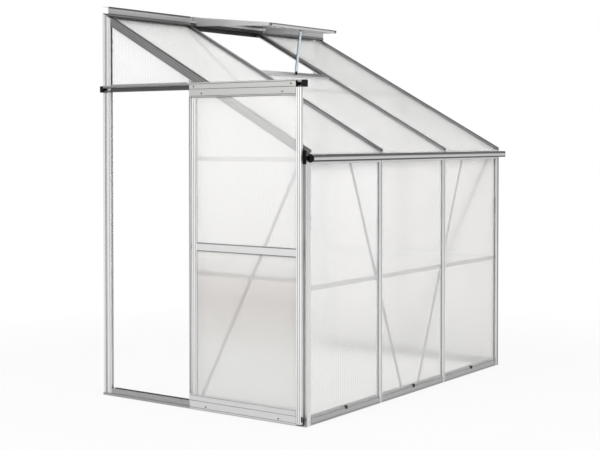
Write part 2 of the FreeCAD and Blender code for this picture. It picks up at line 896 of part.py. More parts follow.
gable_rafter_length = keep("gable_rafter_length", size.depth - size.wall_post_width)
for name, (face_x, inward) in gables.items():
    rafter = body(f"gable_rafter_{name}", (face_x, *eave_point))
    loops = mapped(corner_section(), lambda across, depth: (inward * across, -secant * depth))
    slanted_run(rafter, "section", loops, 0, gable_rafter_length)
    raised = slope * gable_rafter_length
    flange_low = raised - secant * flange
    flange_top = raised - secant * seat
    tail = [
        rectangle(0, raised - secant * size.metal, inward * size.corner_leg, raised),
        rectangle(inward * flange, flange_low, inward * size.corner_leg, flange_top),
    ]
    slanted_run(rafter, "tail", tail, gable_rafter_length, rafter_length - gable_rafter_length)
    node(rafter)

# Stiffening rails lie against the flanges, between the bolt channels.
leg = size.channel_width / 2
front_spans = (
    ("near", near_x + flange, bar_places["near"] - leg),
    ("middle", bar_places["near"] + leg, bar_places["far"] - leg),
    ("far", bar_places["far"] + leg, far_x - flange),
)
group(
    "front_mid_rail",
    [
        extrusion(
            f"front_mid_rail_{name}",
            "X",
            angle_section(),
            high - low,
            (low, front_y, size.front_rail_height),
        )
        for name, low, high in front_spans
    ],
)
gable_spans = (
    ("near_eave", "near", front_y + back, jamb_y - leg, size.eave_rail_height),
    ("near_middle", "near", front_y + back, jamb_y - leg, size.gable_rail_height),
    ("far_front", "far", front_y + back, far_bar_y - leg, size.front_rail_height),
    ("far_wall", "far", far_bar_y + leg, post_front + size.wall_post_groove, size.front_rail_height),
)
rails = []
for name, side, low, high, height in gable_spans:
    face_x, inward = gables[side]
    loops = mapped(angle_section(), lambda depth, up: (inward * depth, up))
    rails.append(extrusion(f"gable_rail_{name}", "Y", loops, high - low, (face_x, low, height)))
group("gable_rails", rails)

# Diagonal straps lie against the backs of the channels, with level ends.
half_strap = size.strap_width / 2


def strap_loop(start, end):
    return [
        (start[0] - half_strap, start[1]),
        (start[0] + half_strap, start[1]),
        (end[0] + half_strap, end[1]),
        (end[0] - half_strap, end[1]),
    ]


strap_foot = size.base_height / 2
strap_top = size.eave_rail_height + size.rail_width
straps = []
for name, way in (("near", -1), ("far", 1)):
    foot = (way * size.strap_spread_foot, strap_foot)
    head = (way * size.strap_spread_top, strap_top)
    straps.append(
        extrusion(
            f"front_brace_{name}",
            "Y",
            [strap_loop(foot, head)],
            size.strap_thickness,
            (middle_x, front_y + back, 0),
        )
    )
group("front_braces", straps)

brace_top_y = front_y + size.corner_leg + half_strap
bar_of_gable = {"near": jamb_y, "far": far_bar_y}
gable_straps = []
for name, (face_x, inward) in gables.items():
    strap_y = bar_of_gable[name] - size.bar_flange / 2 - half_strap
    low_x = face_x + back if inward > 0 else face_x - back - size.strap_thickness
    loop = strap_loop((strap_y, strap_foot), (brace_top_y, strap_top))
    strap = extrusion(f"gable_brace_{name}", "X", [loop], size.strap_thickness, (low_x, 0, 0))
    gable_straps.append(strap)
group("gable_braces", gable_straps)

# Roof straps lie under the rafters, and the purlin lies under the straps.
purlin_y = front_y + size.purlin_back
strap_under = keep("strap_under", back + size.strap_thickness)
purlin_low_y = purlin_y - size.rail_width / 2
purlin_high_y = purlin_y + size.rail_width / 2
node(
    extrusion(
        "roof_purlin",
        "X",
        [
            [
                (purlin_low_y, roof(purlin_low_y, strap_under + size.metal)),
                (purlin_high_y, roof(purlin_high_y, strap_under + size.metal)),
                (purlin_high_y, roof(purlin_high_y, strap_under)),
                (purlin_low_y, roof(purlin_low_y, strap_under)),
            ]
        ],
        size.length - 2 * flange,
        (near_x + flange, 0, 0),
    )
)
strap_low_y = front_y + back
strap_high_y = wall_y - 3 * size.metal
roof_straps = []
for name, way in (("near", 1), ("far", -1)):
    foot_x = way * (flange + half_strap) + gables[name][0]
    head_x = bar_places[name]
    strap = body(f"roof_brace_{name}", (0, 0, 0))
    thick = secant * size.strap_thickness
    # Drawn level at the eave and the ridge, and sheared onto the slope by a loft between its ends.
    ends = []
    for end, mid_x, y in (("low", foot_x, strap_low_y), ("high", head_x, strap_high_y)):
        top = roof(y, back)
        loop = rectangle(mid_x - half_strap, top - thick, mid_x + half_strap, top)
        ends.append(drawing(strap, end, "XZ_Plane", [loop], -y))
    loft = strap.newObject("PartDesign::AdditiveLoft", f"roof_brace_{name}_loft")
    loft.Profile = ends[0]
    loft.Sections = [ends[1]]
    loft.Ruled = True
    roof_straps.append(strap)
group("roof_braces", roof_straps)

# Vent sill: the bar across the middle bay, under the free edge of the closed vent. The stay stands
# in a notch in its back, and drops into the same notch with its pin as the vent closes.
sill_high_y = keep("sill_high_y", front_y + size.sill_back)
sill_low_y = keep("sill_low_y", sill_high_y - size.sill_width)
notch_y = keep("notch_y", sill_low_y + size.sill_front)
sill_bar = extrusion(
    "vent_sill_section",
    "X",
    [
        [
            (sill_low_y, roof(sill_low_y, seat)),
            (sill_high_y, roof(sill_high_y, seat)),
            (sill_high_y, roof(sill_high_y, size.sill_drop)),
            (sill_low_y, roof(sill_low_y, size.sill_drop)),
        ]
    ],
    bar_pitch - 2 * sheet_edge,
    (bar_places["near"] + sheet_edge, 0, 0),
)
sill_notch = box(
    "sill_notch",
    (size.notch_width, size.sill_width, 2 * size.sill_width),
    (middle_x - size.notch_width / 2, notch_y, roof(notch_y, 2 * seat)),
)
node(holed("vent_sill_notched", sill_bar, sill_notch), "vent_sill")

# Door head and track. The head carries the sheet over the door.
head_wall = size.metal
head_start = jamb_y + size.bar_flange / 2
node(
    extrusion(
        "door_head",
        "Y",
        [
            [
                (head_wall, 0),
                (flange + head_wall, 0),
                (flange + head_wall, size.base_height / 2),
                (flange, size.base_height / 2),
                (flange, head_wall),
                (2 * head_wall, head_wall),
                (2 * head_wall, size.base_height),
                (head_wall, size.base_height),
            ]
        ],
        post_front - head_start,
        (near_x, head_start, track_low),
    )
)
rail_outer = size.track_rail_out + size.metal / 2
rail_inner = size.track_rail_out - size.metal / 2
track_start = keep("track_start", front_y + size.track_inset)
track_end = keep("track_end", wall_y - size.track_cap)
node(
    extrusion(
        "door_track",
        "Y",
        [
            [
                (0, 0),
                (0, size.track_height),
                (-size.track_depth, size.track_height),
                (-size.track_depth, size.track_height - size.track_lip),
                (size.metal - size.track_depth, size.track_height - size.track_lip),
                (size.metal - size.track_depth, size.track_height - size.metal),
                (-size.metal, size.track_height - size.metal),
                (-size.metal, size.metal),
                (-rail_inner, size.metal),
                (-rail_inner, size.track_rail),
                (-rail_outer, size.track_rail),
                (-rail_outer, 0),
            ]
        ],
        track_end - track_start,
        (near_x, track_start, track_low),
    )
)

# Sheets of the front, the gables and the roof.
sheet_foot = size.base_ledge + size.metal
front_sheet_top = gutter_low - size.metal
sheet_spans = (
    ("near", near_x + corner_edge, bar_places["near"] - sheet_edge),
    ("middle", bar_places["near"] + sheet_edge, bar_places["far"] - sheet_edge),
    ("far", bar_places["far"] + sheet_edge, far_x - corner_edge),
)
for name, low_x, high_x in sheet_spans:
    at = (low_x, front_y + size.sheet_setback, sheet_foot)
    node(upright_sheet(f"front_sheet_{name}", "X", high_x - low_x, front_sheet_top - sheet_foot, at))

roof_low = front_y - size.roof_overhang
roof_high = wall_y - 3 * size.metal
for name, low_x, high_x in sheet_spans:
    high_y = sill_low_y if name == "middle" else roof_high
    roof_sheet(f"roof_sheet_{name}", low_x, high_x, roof_low, high_y)

gable_sheet_low = front_y + corner_edge
gable_sheet_high = post_front + size.wall_post_groove - size.sheet_play
gable_sheets = (
    ("gable_sheet_beside_door", "near", gable_sheet_low, jamb_y - sheet_edge, sheet_foot),
    ("gable_sheet_over_door", "near", jamb_y + sheet_edge, gable_sheet_high, track_low + size.metal),
    ("gable_sheet_far_front", "far", gable_sheet_low, far_bar_y - sheet_edge, sheet_foot),
    ("gable_sheet_far_wall", "far", far_bar_y + sheet_edge, gable_sheet_high, sheet_foot),
)
for label, side, low_y, high_y, foot in gable_sheets:
    face_x, inward = gables[side]
    low_x = face_x + size.sheet_setback if inward > 0 else face_x - seat
    at = (low_x, low_y, foot)
    made = upright_sheet(label, "Y", high_y - low_y, size.ridge_height - foot, at)
    cut_to_roof(made, corner_edge, at, low_y - size.metal, high_y + size.metal)
    node(made)

# Sliding door, drawn open as it stands in front of the fixed sheet. Its top and foot plates start
# at the front stile's inner edge and stand out a little beyond the other stile.
door_low_y = keep("door_low_y", front_y + size.door_rest)
door_high_y = keep("door_high_y", door_low_y + size.door_span)
stile_top = keep("stile_top", track_low - size.metal)
inner_low_y = keep("inner_low_y", door_low_y + size.stile_width)
inner_width = keep("inner_width", size.door_span - 2 * size.stile_width)
plate_high_y = keep("plate_high_y", inner_low_y + size.door_width)
stile_loops = edge_section(size.stile_width, size.stile_core, size.door_depth)
stiles = []
for name, edge_y, way in (("front", door_low_y, 1), ("wall", door_high_y, -1)):
    loops = mapped(stile_loops, lambda across, depth: (depth, way * across))
    at = (door_outer, edge_y, size.door_foot)
    stiles.append(extrusion(f"door_stile_{name}", "Z", loops, stile_top - size.door_foot, at))
group("door_stiles", stiles)


def plated_rail(label, plate_low, plate_height, rail_edge, way):
    """A wide outer plate, with a slotted rail behind it between the stiles."""
    made = body(label, (door_outer, 0, 0))
    plate = rectangle(-size.metal, plate_low, 0, plate_low + plate_height)
    run(made, "plate", "Y", [plate], inner_low_y, size.door_width)
    loops = mapped(stile_loops, lambda across, depth: (depth, rail_edge + way * across))
    run(made, "rail", "Y", loops, inner_low_y, inner_width)
    return node(made)


header_low = track_low + size.header_rise - size.header_height
plated_rail("door_header", header_low, size.header_height, stile_top, -1)
plated_rail("door_kick_plate", size.kick_foot, size.kick_height, size.door_foot, 1)
node(
    extrusion(
        "door_mid_rail",
        "Y",
        lock_rail_section(),
        inner_width,
        (door_outer, inner_low_y, size.lock_rail_low),
    )
)
panel_low_y = inner_low_y - size.sheet_bite
panel_width = inner_width + 2 * size.sheet_bite
lock_slot = size.lock_rail_height / 4
door_sheets = (
    (
        "door_sheet_lower",
        size.door_foot + size.stile_width - size.sheet_bite,
        size.lock_rail_low + lock_slot,
    ),
    (
        "door_sheet_upper",
        size.lock_rail_low + size.lock_rail_height - lock_slot,
        stile_top - size.stile_width + size.sheet_bite,
    ),
)
for label, low_z, high_z in door_sheets:
    at = (door_outer + size.metal, panel_low_y, low_z)
    node(upright_sheet(label, "Y", panel_width, high_z - low_z, at))

# Rollers hang the door from the track's running rail. Each turns on an axle behind the top plate.
roller_z = keep("roller_z", track_low + size.track_rail + size.roller_radius + size.roller_play)
roller_x = keep("roller_x", near_x - size.track_rail_out)
roller_places = (
    ("front", inner_low_y + size.roller_inset),
    ("wall", plate_high_y - size.roller_inset),
)
axles = []
for name, roller_y in roller_places:
    half = size.roller_width / 2
    groove = size.roller_groove / 2
    roller = body(f"door_roller_{name}", (roller_x, roller_y, roller_z))
    profile = drawing(
        roller,
        "half",
        "XZ_Plane",
        [
            [
                (-half, size.axle_radius + size.axle_play),
                (half, size.axle_radius + size.axle_play),
                (half, size.roller_flange),
                (groove, size.roller_flange),
                (groove, size.roller_radius),
                (-groove, size.roller_radius),
                (-groove, size.roller_flange),
                (-half, size.roller_flange),
            ]
        ],
    )
    turned = roller.newObject("PartDesign::Revolution", f"door_roller_{name}_turned")
    turned.Profile = profile
    turned.ReferenceAxis = (profile, ["H_Axis"])
    turned.Angle = 360
    node(roller)
    spacer_length = roller_x - half - size.roller_play - door_outer
    head_x = roller_x + half + size.roller_play
    head_at = (head_x, roller_y, roller_z)
    shaft_at = (door_outer, roller_y, roller_z)
    shaft_length = head_x + size.metal - door_outer
    shaft = rod(f"axle_{name}", "X", size.axle_radius, shaft_length, shaft_at)
    spacer = rod(f"spacer_{name}", "X", size.spacer_radius, spacer_length, shaft_at)
    head = rod(f"axle_head_{name}", "X", size.spacer_radius, size.metal, head_at)
    axles.append(fused(f"door_axle_{name}", [shaft, spacer, head]))
group("door_axles", axles)

# Bottom guides straddle the sill's lip, and black plugs close the ends of the door's rails.
plastics = []
guide_inner_x = size.metal + size.guide_play
for name, guide_y in (("front", door_low_y), ("wall", door_high_y - size.guide_length)):
    slot_low = -guide_outer - size.guide_play
    slot_high = -guide_inner + size.guide_play
    plastics.append(
        extrusion(
            f"door_guide_{name}",
            "Y",
            [
                [
                    (-size.door_gap, size.guide_top),
                    (-size.door_gap, size.guide_low),
                    (slot_low, size.guide_low),
                    (slot_low, size.guide_height + size.guide_play),
                    (slot_high, size.guide_height + size.guide_play),
                    (slot_high, size.guide_low),
                    (-guide_inner_x, size.guide_low),
                    (-guide_inner_x, size.guide_top),
                ]
            ],
            size.guide_length,
            (near_x, guide_y, 0),
        )
    )
plugs = (
    ("kick", door_low_y - size.cap_plate, size.door_foot + size.stile_core, 2 * size.stile_core),
    ("middle", door_high_y, size.lock_rail_low + lock_slot, size.lock_rail_height / 2),
    ("header", door_high_y, header_low, size.stile_core),
)
for level, y, z, tall in plugs:
    lengths = (size.door_depth / 2, size.cap_plate, tall)
    plastics.append(box(f"door_plug_{level}", lengths, (door_outer, y, z)))
plastics.append(
    box(
        "door_stop",
        (2 * size.metal, 2 * size.cap_plate, 2 * size.stile_core),
        (door_outer - size.metal, inner_low_y - 2 * size.cap_plate, track_low + 2 * size.metal),
    )
)
group("door_plastics", plastics)

screw_places = []
for name, end_y, way in (("front", inner_low_y, 1), ("wall", plate_high_y, -1)):
    header_screw_y = end_y + way * size.header_screw_in
    kick_screw_y = end_y + way * size.kick_screw_in
    screw_places += [
        (f"axle_{name}", end_y + way * size.roller_inset, roller_z),
        (f"header_{name}", header_screw_y, header_low + size.header_screw_up),
        (f"kick_{name}", kick_screw_y, size.kick_foot + size.kick_screw_up),
    ]
screw_x = door_outer - size.metal - size.screw_height
group(
    "door_screws",
    [
        rod(f"door_screw_{name}", "X", size.screw_radius, size.screw_height, (screw_x, y, z))
        for name, y, z in screw_places
    ],
)

# Roof vent, drawn propped open. Its pieces share a frame that starts on the hinge axis, where
# local -Y runs to the free edge and the whole is tipped by the open angle.
tilt = size.vent_open_tilt
cos_tilt = calculated("cos_tilt", "cos(Sizes.vent_open_tilt)")
sin_tilt = calculated("sin_tilt", "sin(Sizes.vent_open_tilt)")
half_vent = size.vent_width / 2
half_depth = size.vent_depth / 2


def vent_point(along, lift):
    """The place of a local point of the vent, as Y and Z."""
    return hinge_y + along * cos_tilt - lift * sin_tilt, hinge_z + along * sin_tilt + lift * cos_tilt


def tipped(thing, angle, y, z):
    """Turns a thing about X by a bound angle. The angle that it starts with only fixes the axis."""
    start = FreeCAD.Rotation(FreeCAD.Vector(1, 0, 0), 1)
    thing.Placement = FreeCAD.Placement(FreeCAD.Vector(), start)
    thing.setExpression("Placement.Rotation.Angle", angle.words)
    place(thing, middle_x, y, z)
    return thing


def on_vent(thing):
    return tipped(thing, tilt, hinge_y, hinge_z)


# Closed, the free edge comes down onto the roof bars. The hinge is higher above them than the
# frame is thick, so cheeks below the side rails fill the wedge that is left.
hinge_lift = keep("hinge_lift", (hinge_z - roof(hinge_y)) / secant)
sin_wedge = keep("sin_wedge", (hinge_lift - half_depth - size.vent_play) / size.vent_length)
cos_wedge = calculated("cos_wedge", "sqrt(1 - Worked.sin_wedge ^ 2)")


def cheek_low(along):
    """Underside of a cheek, which lies on the roof bars' caps when the vent is closed."""
    return (size.vent_play - hinge_lift - along * sin_wedge) / cos_wedge


vent_loops = edge_section(size.vent_rail, size.vent_rail / 2, size.vent_depth)
rail_end = size.vent_rail / 2 - half_depth
cheek_back = -size.vent_rail
cheek = [
    (-size.vent_length, -half_depth),
    (cheek_back, cheek_low(cheek_back)),
    (cheek_back, -half_depth),
]
side_rails = []
for name, way in (("near", -1), ("far", 1)):
    side = on_vent(body(f"vent_side_rail_{name}"))
    loops = mapped(vent_loops, lambda across, depth: (way * (half_vent - across), half_depth - depth))
    run(side, "section", "Y", loops, -size.vent_length, size.vent_length - rail_end)
    cheek_start = half_vent - size.metal if way > 0 else -half_vent
    run(side, "cheek", "X", [cheek], cheek_start, size.metal)
    side_rails.append(side)
group("vent_side_rails", side_rails)

between = size.vent_width - 2 * size.vent_rail
hinge_rail = body("vent_hinge_rail_section")
on_vent(hinge_rail)
loops = mapped(vent_loops, lambda across, depth: (half_depth - across, half_depth - depth))
run(hinge_rail, "section", "X", loops, -between / 2, between)
nose = [rectangle(-rail_end, -half_depth, half_depth, half_depth)]
run(hinge_rail, "nose_near", "X", nose, -half_vent, size.vent_rail)
run(hinge_rail, "nose_far", "X", nose, half_vent - size.vent_rail, size.vent_rail)
pins = []
for name, start in (("near", middle_x - half_vent - size.vent_lug), ("far", middle_x + half_vent)):
    pin_at = (start, hinge_y, hinge_z)
    pins.append(rod(f"vent_pin_{name}", "X", size.vent_pin_radius, size.vent_lug, pin_at))
node(fused("vent_hinge_rail_solid", [hinge_rail, *pins]), "vent_hinge_rail")

free_rail = body("vent_free_rail_section")
on_vent(free_rail)
free_edge = -size.vent_length
loops = mapped(vent_loops, lambda across, depth: (free_edge + across, half_depth - depth))
run(free_rail, "section", "X", loops, -between / 2, between)
pin_along = free_edge + size.stay_pin_in
pin_lift = -size.stay_pin_drop
lug_half = 2 * size.stay_pin_radius
lip_under = half_depth - 2 * size.metal - size.slot_width
lug_front = free_edge + size.vent_rail / 2
run(
    free_rail,
    "lug",
    "X",
    [rectangle(lug_front, pin_lift - lug_half, pin_along + lug_half, lip_under)],
    -size.stay_thickness - size.roller_play,
    size.stay_thickness,
)
pivot = vent_point(pin_along, pin_lift)
pivot_y = keep("pivot_y", pivot[0])
pivot_z = keep("pivot_z", pivot[1])
stay_pin = rod(
    "stay_pin",
    "X",
    size.stay_pin_radius,
    2 * size.stay_thickness + 2 * size.roller_play,
    (middle_x - size.stay_thickness - size.roller_play, pivot_y, pivot_z),
)
node(fused("vent_free_rail_solid", [free_rail, stay_pin]), "vent_free_rail")

vent_sheet = on_vent(body("vent_sheet"))
vent_bite = size.vent_rail - size.sheet_bite
sheet_low = -half_vent + vent_bite
sheet_across = size.vent_width - 2 * vent_bite
sheet_under = half_depth - size.metal - size.sheet_thickness
sheet_start = free_edge + vent_bite
sheet_run = size.vent_length - vent_bite - size.vent_rail + half_depth + size.sheet_bite
outer = rectangle(0, 0, sheet_across, size.sheet_thickness)
shifted = [(sheet_low + across, sheet_under + up) for across, up in outer]
run(vent_sheet, "sheet", "Y", [shifted], sheet_start, sheet_run)
skin, pitch = size.sheet_skin, size.flute_pitch
cell_top = sheet_under + size.sheet_thickness - skin
cell = rectangle(sheet_low + skin, sheet_under + skin, sheet_low + pitch, cell_top)
cell_sketch = drawing(vent_sheet, "flute", "XZ_Plane", [cell])
cell_cut = vent_sheet.newObject("PartDesign::Pocket", "vent_sheet_flute")
cell_cut.Profile = cell_sketch
cell_cut.Type = "ThroughAll"
cell_cut.Midplane = True
cell_count = int((sheet_across.number - skin.number) // pitch.number)
cell_pattern = vent_sheet.newObject("PartDesign::LinearPattern", "vent_sheet_flutes")
cell_pattern.Originals = [cell_cut]
cell_pattern.Direction = (cell_sketch, ["H_Axis"])
cell_pattern.setExpression("Length", words_of(pitch * (cell_count - 1)))
cell_pattern.Occurrences = cell_count
vent_sheet.Tip = cell_pattern
node(vent_sheet)

# The stay hangs from the free rail's pin, and its foot stands in the notch of the vent's sill. It
# leans back, so the foot is moved back until the stay clears the upper edge of the notch's front.
foot_y = keep("foot_y", notch_y + size.stay_width / 2 + size.notch_play)
foot_z = keep("foot_z", roof(notch_y, size.sill_drop) - size.stay_grip)
keep("stay_drop", pivot_z - foot_z)
calculated("toe_angle", "atan2(Worked.foot_y - Worked.pivot_y; Worked.stay_drop) / 1 deg")
toe_shift = calculated(
    "toe_shift",
    "Sizes.stay_grip * tan(Worked.toe_angle) + Sizes.stay_width / 2 * (1 / cos(Worked.toe_angle) - 1)",
)
keep("toe_back", foot_y + toe_shift - pivot_y)
stay_angle = calculated("stay_angle", "atan2(Worked.toe_back; Worked.stay_drop) / 1 deg")
stay_reach = calculated("stay_reach", "sqrt(Worked.toe_back ^ 2 + Worked.stay_drop ^ 2)")


def on_stay(thing):
    """Local -Z runs from the pin towards the foot."""
    return tipped(thing, stay_angle, pivot_y, pivot_z)


stay_half = size.stay_width / 2
stay = on_stay(body("vent_stay_bar"))
bar_end = size.stay_foot - stay_reach
run(
    stay,
    "strip",
    "X",
    [rectangle(-stay_half, bar_end, stay_half, stay_half)],
    size.roller_play,
    size.stay_thickness,
)
eye_radius = size.stay_pin_radius + size.axle_play
hole_at = (middle_x - size.stay_thickness, pivot_y, pivot_z)
stay_hole = rod("stay_hole", "X", eye_radius, 3 * size.stay_thickness, hole_at)
node(holed("vent_stay_holed", stay, stay_hole), "vent_stay")
foot = on_stay(body("vent_stay_foot"))
run(
    foot,
    "block",
    "X",
    [rectangle(-stay_half, bar_end - size.stay_foot, stay_half, bar_end)],
    size.roller_play,
    size.stay_thickness,
)
node(foot)

# Spring wire clips hold the sheets. Each is a zigzag under the cap's edge and against the sheet.


def clip_loop(way):
    step = size.clip_height / 4
    low = [
        (0, 0),
        (way * size.clip_width, step),
        (0, 2 * step),
        (way * size.clip_width, 3 * step),
        (0, 4 * step),
    ]
    return low + [(across + way * size.clip_wire, up) for across, up in reversed(low)]


clips = []
clip_depth = size.sheet_setback - size.clip_wire
cap_edge = size.bar_cap / 2 - size.clip_bite
front_clips = [
    ("corner_near", near_x + size.corner_leg - size.clip_bite, 1, size.bar_clip_height),
    ("corner_far", far_x - size.corner_leg + size.clip_bite, -1, size.bar_clip_height),
]
for name, bar_x in bar_places.items():
    front_clips.append((f"bar_{name}_left", bar_x - cap_edge, -1, size.bar_clip_height))
    front_clips.append((f"bar_{name}_right", bar_x + cap_edge, 1, size.bar_clip_height))
for name, x, way, z in front_clips:
    at = (x, front_y + clip_depth, z)
    clips.append(extrusion(f"clip_{name}", "Y", [clip_loop(way)], size.clip_wire, at))
gable_clips = (
    ("post", post_front + size.clip_bite, -1, size.post_clip_height),
    ("jamb_low", jamb_y - cap_edge, -1, size.jamb_clip_low),
    ("jamb_middle", jamb_y - cap_edge, -1, size.jamb_clip_middle),
    ("jamb_high", jamb_y - cap_edge, -1, size.jamb_clip_high),
)
for name, y, way, z in gable_clips:
    at = (near_x + clip_depth, y, z)
    clips.append(extrusion(f"clip_{name}", "X", [clip_loop(way)], size.clip_wire, at))
group("glazing_clips", clips)

# Black clips hook over the front base rail in the middle of each bay and hold the sheets' feet.
hook = size.cap_plate
foot_clips = []
for name, low_x, high_x in sheet_spans:
    at = ((low_x + high_x - size.foot_clip_width) / 2, front_y, 0)
    loop = [
        (size.metal - hook, size.base_height - size.foot_clip_hook),
        (size.metal, size.base_height - size.foot_clip_hook),
        (size.metal, size.base_height),
        (size.sheet_setback, size.base_height),
        (size.sheet_setback, size.base_height + hook),
        (size.metal - hook, size.base_height + hook),
    ]
    foot_clips.append(extrusion(f"foot_clip_{name}", "X", [loop], size.foot_clip_width, at))
group("sheet_foot_clips", foot_clips)

# Black end caps, and the gutter's outlet.
gutter_loop = [rectangle(-size.gutter_reach, gutter_low, 0, gutter_top)]
spout_at = (front_y - size.gutter_reach / 2, gutter_low + size.gutter_height / 2)
outlet_start = near_x - size.cap_plate - size.spout_length
plate_at = (near_x - size.cap_plate, front_y, 0)
outlet_plate = extrusion("outlet_plate", "X", gutter_loop, size.cap_plate, plate_at)
outlet_tube = rod("outlet_tube", "X", size.spout_radius, size.spout_length, (outlet_start, *spout_at))
outlet_bore = rod(
    "outlet_bore",
    "X",
    size.spout_bore,
    size.spout_length + 2 * size.cap_plate,
    (outlet_start - size.metal, *spout_at),
)
outlet = fused("outlet_solid", [outlet_plate, outlet_tube])
node(holed("gutter_outlet_bored", outlet, outlet_bore), "gutter_outlet")

caps = [extrusion("gutter_cap_far", "X", gutter_loop, size.cap_plate, (far_x, front_y, 0))]
corner_cap_low = gutter_low - size.eave_skirt
corner_cap_top = size.eave_height - size.metal
corner_cap_wide = size.corner_leg - 3 * size.metal
for name, start in (("near", near_x - size.cap_plate), ("far", far_x)):
    lengths = (size.cap_plate, corner_cap_wide, corner_cap_top - corner_cap_low)
    caps.append(box(f"corner_cap_{name}", lengths, (start, front_y + size.metal, corner_cap_low)))
cap_depth = size.track_depth + size.metal / 2
for name, start in (("front", track_start - size.track_cap), ("wall", track_end)):
    lengths = (cap_depth, size.track_cap, size.track_height + size.metal)
    at = (near_x - cap_depth, start, track_low - size.metal / 2)
    caps.append(box(f"track_cap_{name}", lengths, at))
group("end_caps", caps)

# Bolt heads on the ends of the straps, and screws of the door sill.
bolts = []
strap_face = front_y + back + size.strap_thickness
bolt_inset = size.strap_width / 2
for name, way in (("near", -1), ("far", 1)):
    for end, spread, z in (
        ("foot", size.strap_spread_foot, strap_foot + bolt_inset),
        ("top", size.strap_spread_top, strap_top - bolt_inset),
    ):
        at = (middle_x + way * spread, strap_face, z)
        bolts.append(rod(f"strap_bolt_{name}_{end}", "Y", size.screw_radius, size.screw_height, at))
strap_under_face = back + size.strap_thickness
for name, (face_x, inward) in gables.items():
    start = face_x + strap_under_face
    if inward < 0:
        start = face_x - strap_under_face - size.screw_height
    strap_y = bar_of_gable[name] - size.bar_flange / 2 - half_strap
    for end, y, z in (
        ("foot", strap_y, strap_foot + bolt_inset),
        ("top", brace_top_y, strap_top - bolt_inset),
    ):
        at = (start, y, z)
        bolts.append(rod(f"gable_bolt_{name}_{end}", "X", size.screw_radius, size.screw_height, at))
sill_screw = size.base_height - size.screw_radius
for name, y in (("front", jamb_y + size.sill_screw_in), ("wall", post_front - size.sill_screw_out)):
    at = (near_x - size.metal - size.screw_height, y, sill_screw)
    bolts.append(rod(f"sill_screw_{name}", "X", size.sill_screw_radius, size.screw_height, at))
group("frame_bolts", bolts)

# Everything is worked out once, checked, and written one file per sub-part.
document.recompute()
for thing in document.Objects:
    if "Invalid" in thing.State or "Error" in thing.State:
        raise RuntimeError(f"{thing.Label} failed: {thing.State}")
names = [thing.Label for thing in nodes]
if len(set(names)) != len(names):
    raise RuntimeError("two sub-parts share a name")
os.makedirs("parts", exist_ok=True)
for thing in nodes:
    shape = thing.Shape
    if shape.isNull() or not shape.isValid():
        raise RuntimeError(f"{thing.Label} has no valid shape")
    shape.exportStep(os.path.join("parts", f"{thing.Label}.step"))
    print(f"{thing.Label}: {len(shape.Solids)} solids, {shape.Volume / 1000:.1f} cm3")
print(len(nodes), "sub-parts")
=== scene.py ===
# %% [markdown]
# A lean-to greenhouse of bare aluminium and twin-wall sheet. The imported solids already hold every
# bar and sheet in its place, so this script loads them, gives them their finishes, and makes anew
# what is rounder than plain solids: glazing bars, posts, gutter, wire clips, screws and caps.

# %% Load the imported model
import math

import bmesh
import bpy
import numpy as np
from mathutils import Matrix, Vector


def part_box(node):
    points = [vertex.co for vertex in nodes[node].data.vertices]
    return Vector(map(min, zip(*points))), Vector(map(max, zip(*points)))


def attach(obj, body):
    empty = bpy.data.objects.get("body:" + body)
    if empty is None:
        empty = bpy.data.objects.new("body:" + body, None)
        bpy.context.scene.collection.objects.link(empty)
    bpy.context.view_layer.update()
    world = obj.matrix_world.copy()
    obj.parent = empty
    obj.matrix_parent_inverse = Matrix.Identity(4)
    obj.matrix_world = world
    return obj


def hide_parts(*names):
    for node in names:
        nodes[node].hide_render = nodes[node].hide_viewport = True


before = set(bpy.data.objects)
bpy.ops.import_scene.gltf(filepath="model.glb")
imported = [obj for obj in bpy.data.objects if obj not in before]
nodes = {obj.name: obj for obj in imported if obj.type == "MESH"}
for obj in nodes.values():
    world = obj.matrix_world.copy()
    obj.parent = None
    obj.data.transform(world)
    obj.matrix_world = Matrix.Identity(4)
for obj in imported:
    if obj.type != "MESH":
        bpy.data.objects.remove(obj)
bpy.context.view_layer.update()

# %% [markdown]
# The photograph was taken from the door's corner at breast height, with the camera tipped a
# little down. It is set first, so that every test picture already has the right view. The lens
# follows from the width of the picture and its focal length, both in pixels, and the shift moves
# the horizon without turning the camera, which keeps the posts upright.

# %% Camera
picture = (600, 450)
focal_pixels, horizon = 1252.5, 169.0
yaw, tip = math.radians(35.351), math.radians(-1.4)
camera_data = bpy.data.cameras.new("Camera")
camera = bpy.data.objects.new("Camera", camera_data)
bpy.context.scene.collection.objects.link(camera)
bpy.context.scene.camera = camera
camera.location = (-5.498, -3.804, 1.292)
camera.rotation_euler = (math.radians(90) + tip, 0, yaw - math.radians(90))
camera_data.sensor_width = 36.0
camera_data.lens = camera_data.sensor_width * focal_pixels / picture[0]
camera_data.shift_y = (horizon - picture[1] / 2) / picture[0]
camera_data.clip_end = 100
print("lens", round(camera_data.lens, 1), "mm, shift", round(camera_data.shift_y, 4))

# %% [markdown]
# The frame's places are read back from the solids, so that nothing here is measured twice. Some
# nodes hold several loose solids, such as the end caps. Points that share an edge belong to the
# same solid, so the lowest point number is passed along the edges until nothing changes. The one
# height that no box gives is the eave's, where the roof's outer face meets the front: 1.24 m.

# %% Places that the new pieces need
def low_high(name):
    """The lowest and highest corner of a node as two arrays."""
    low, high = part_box(name)
    return np.array(low), np.array(high)


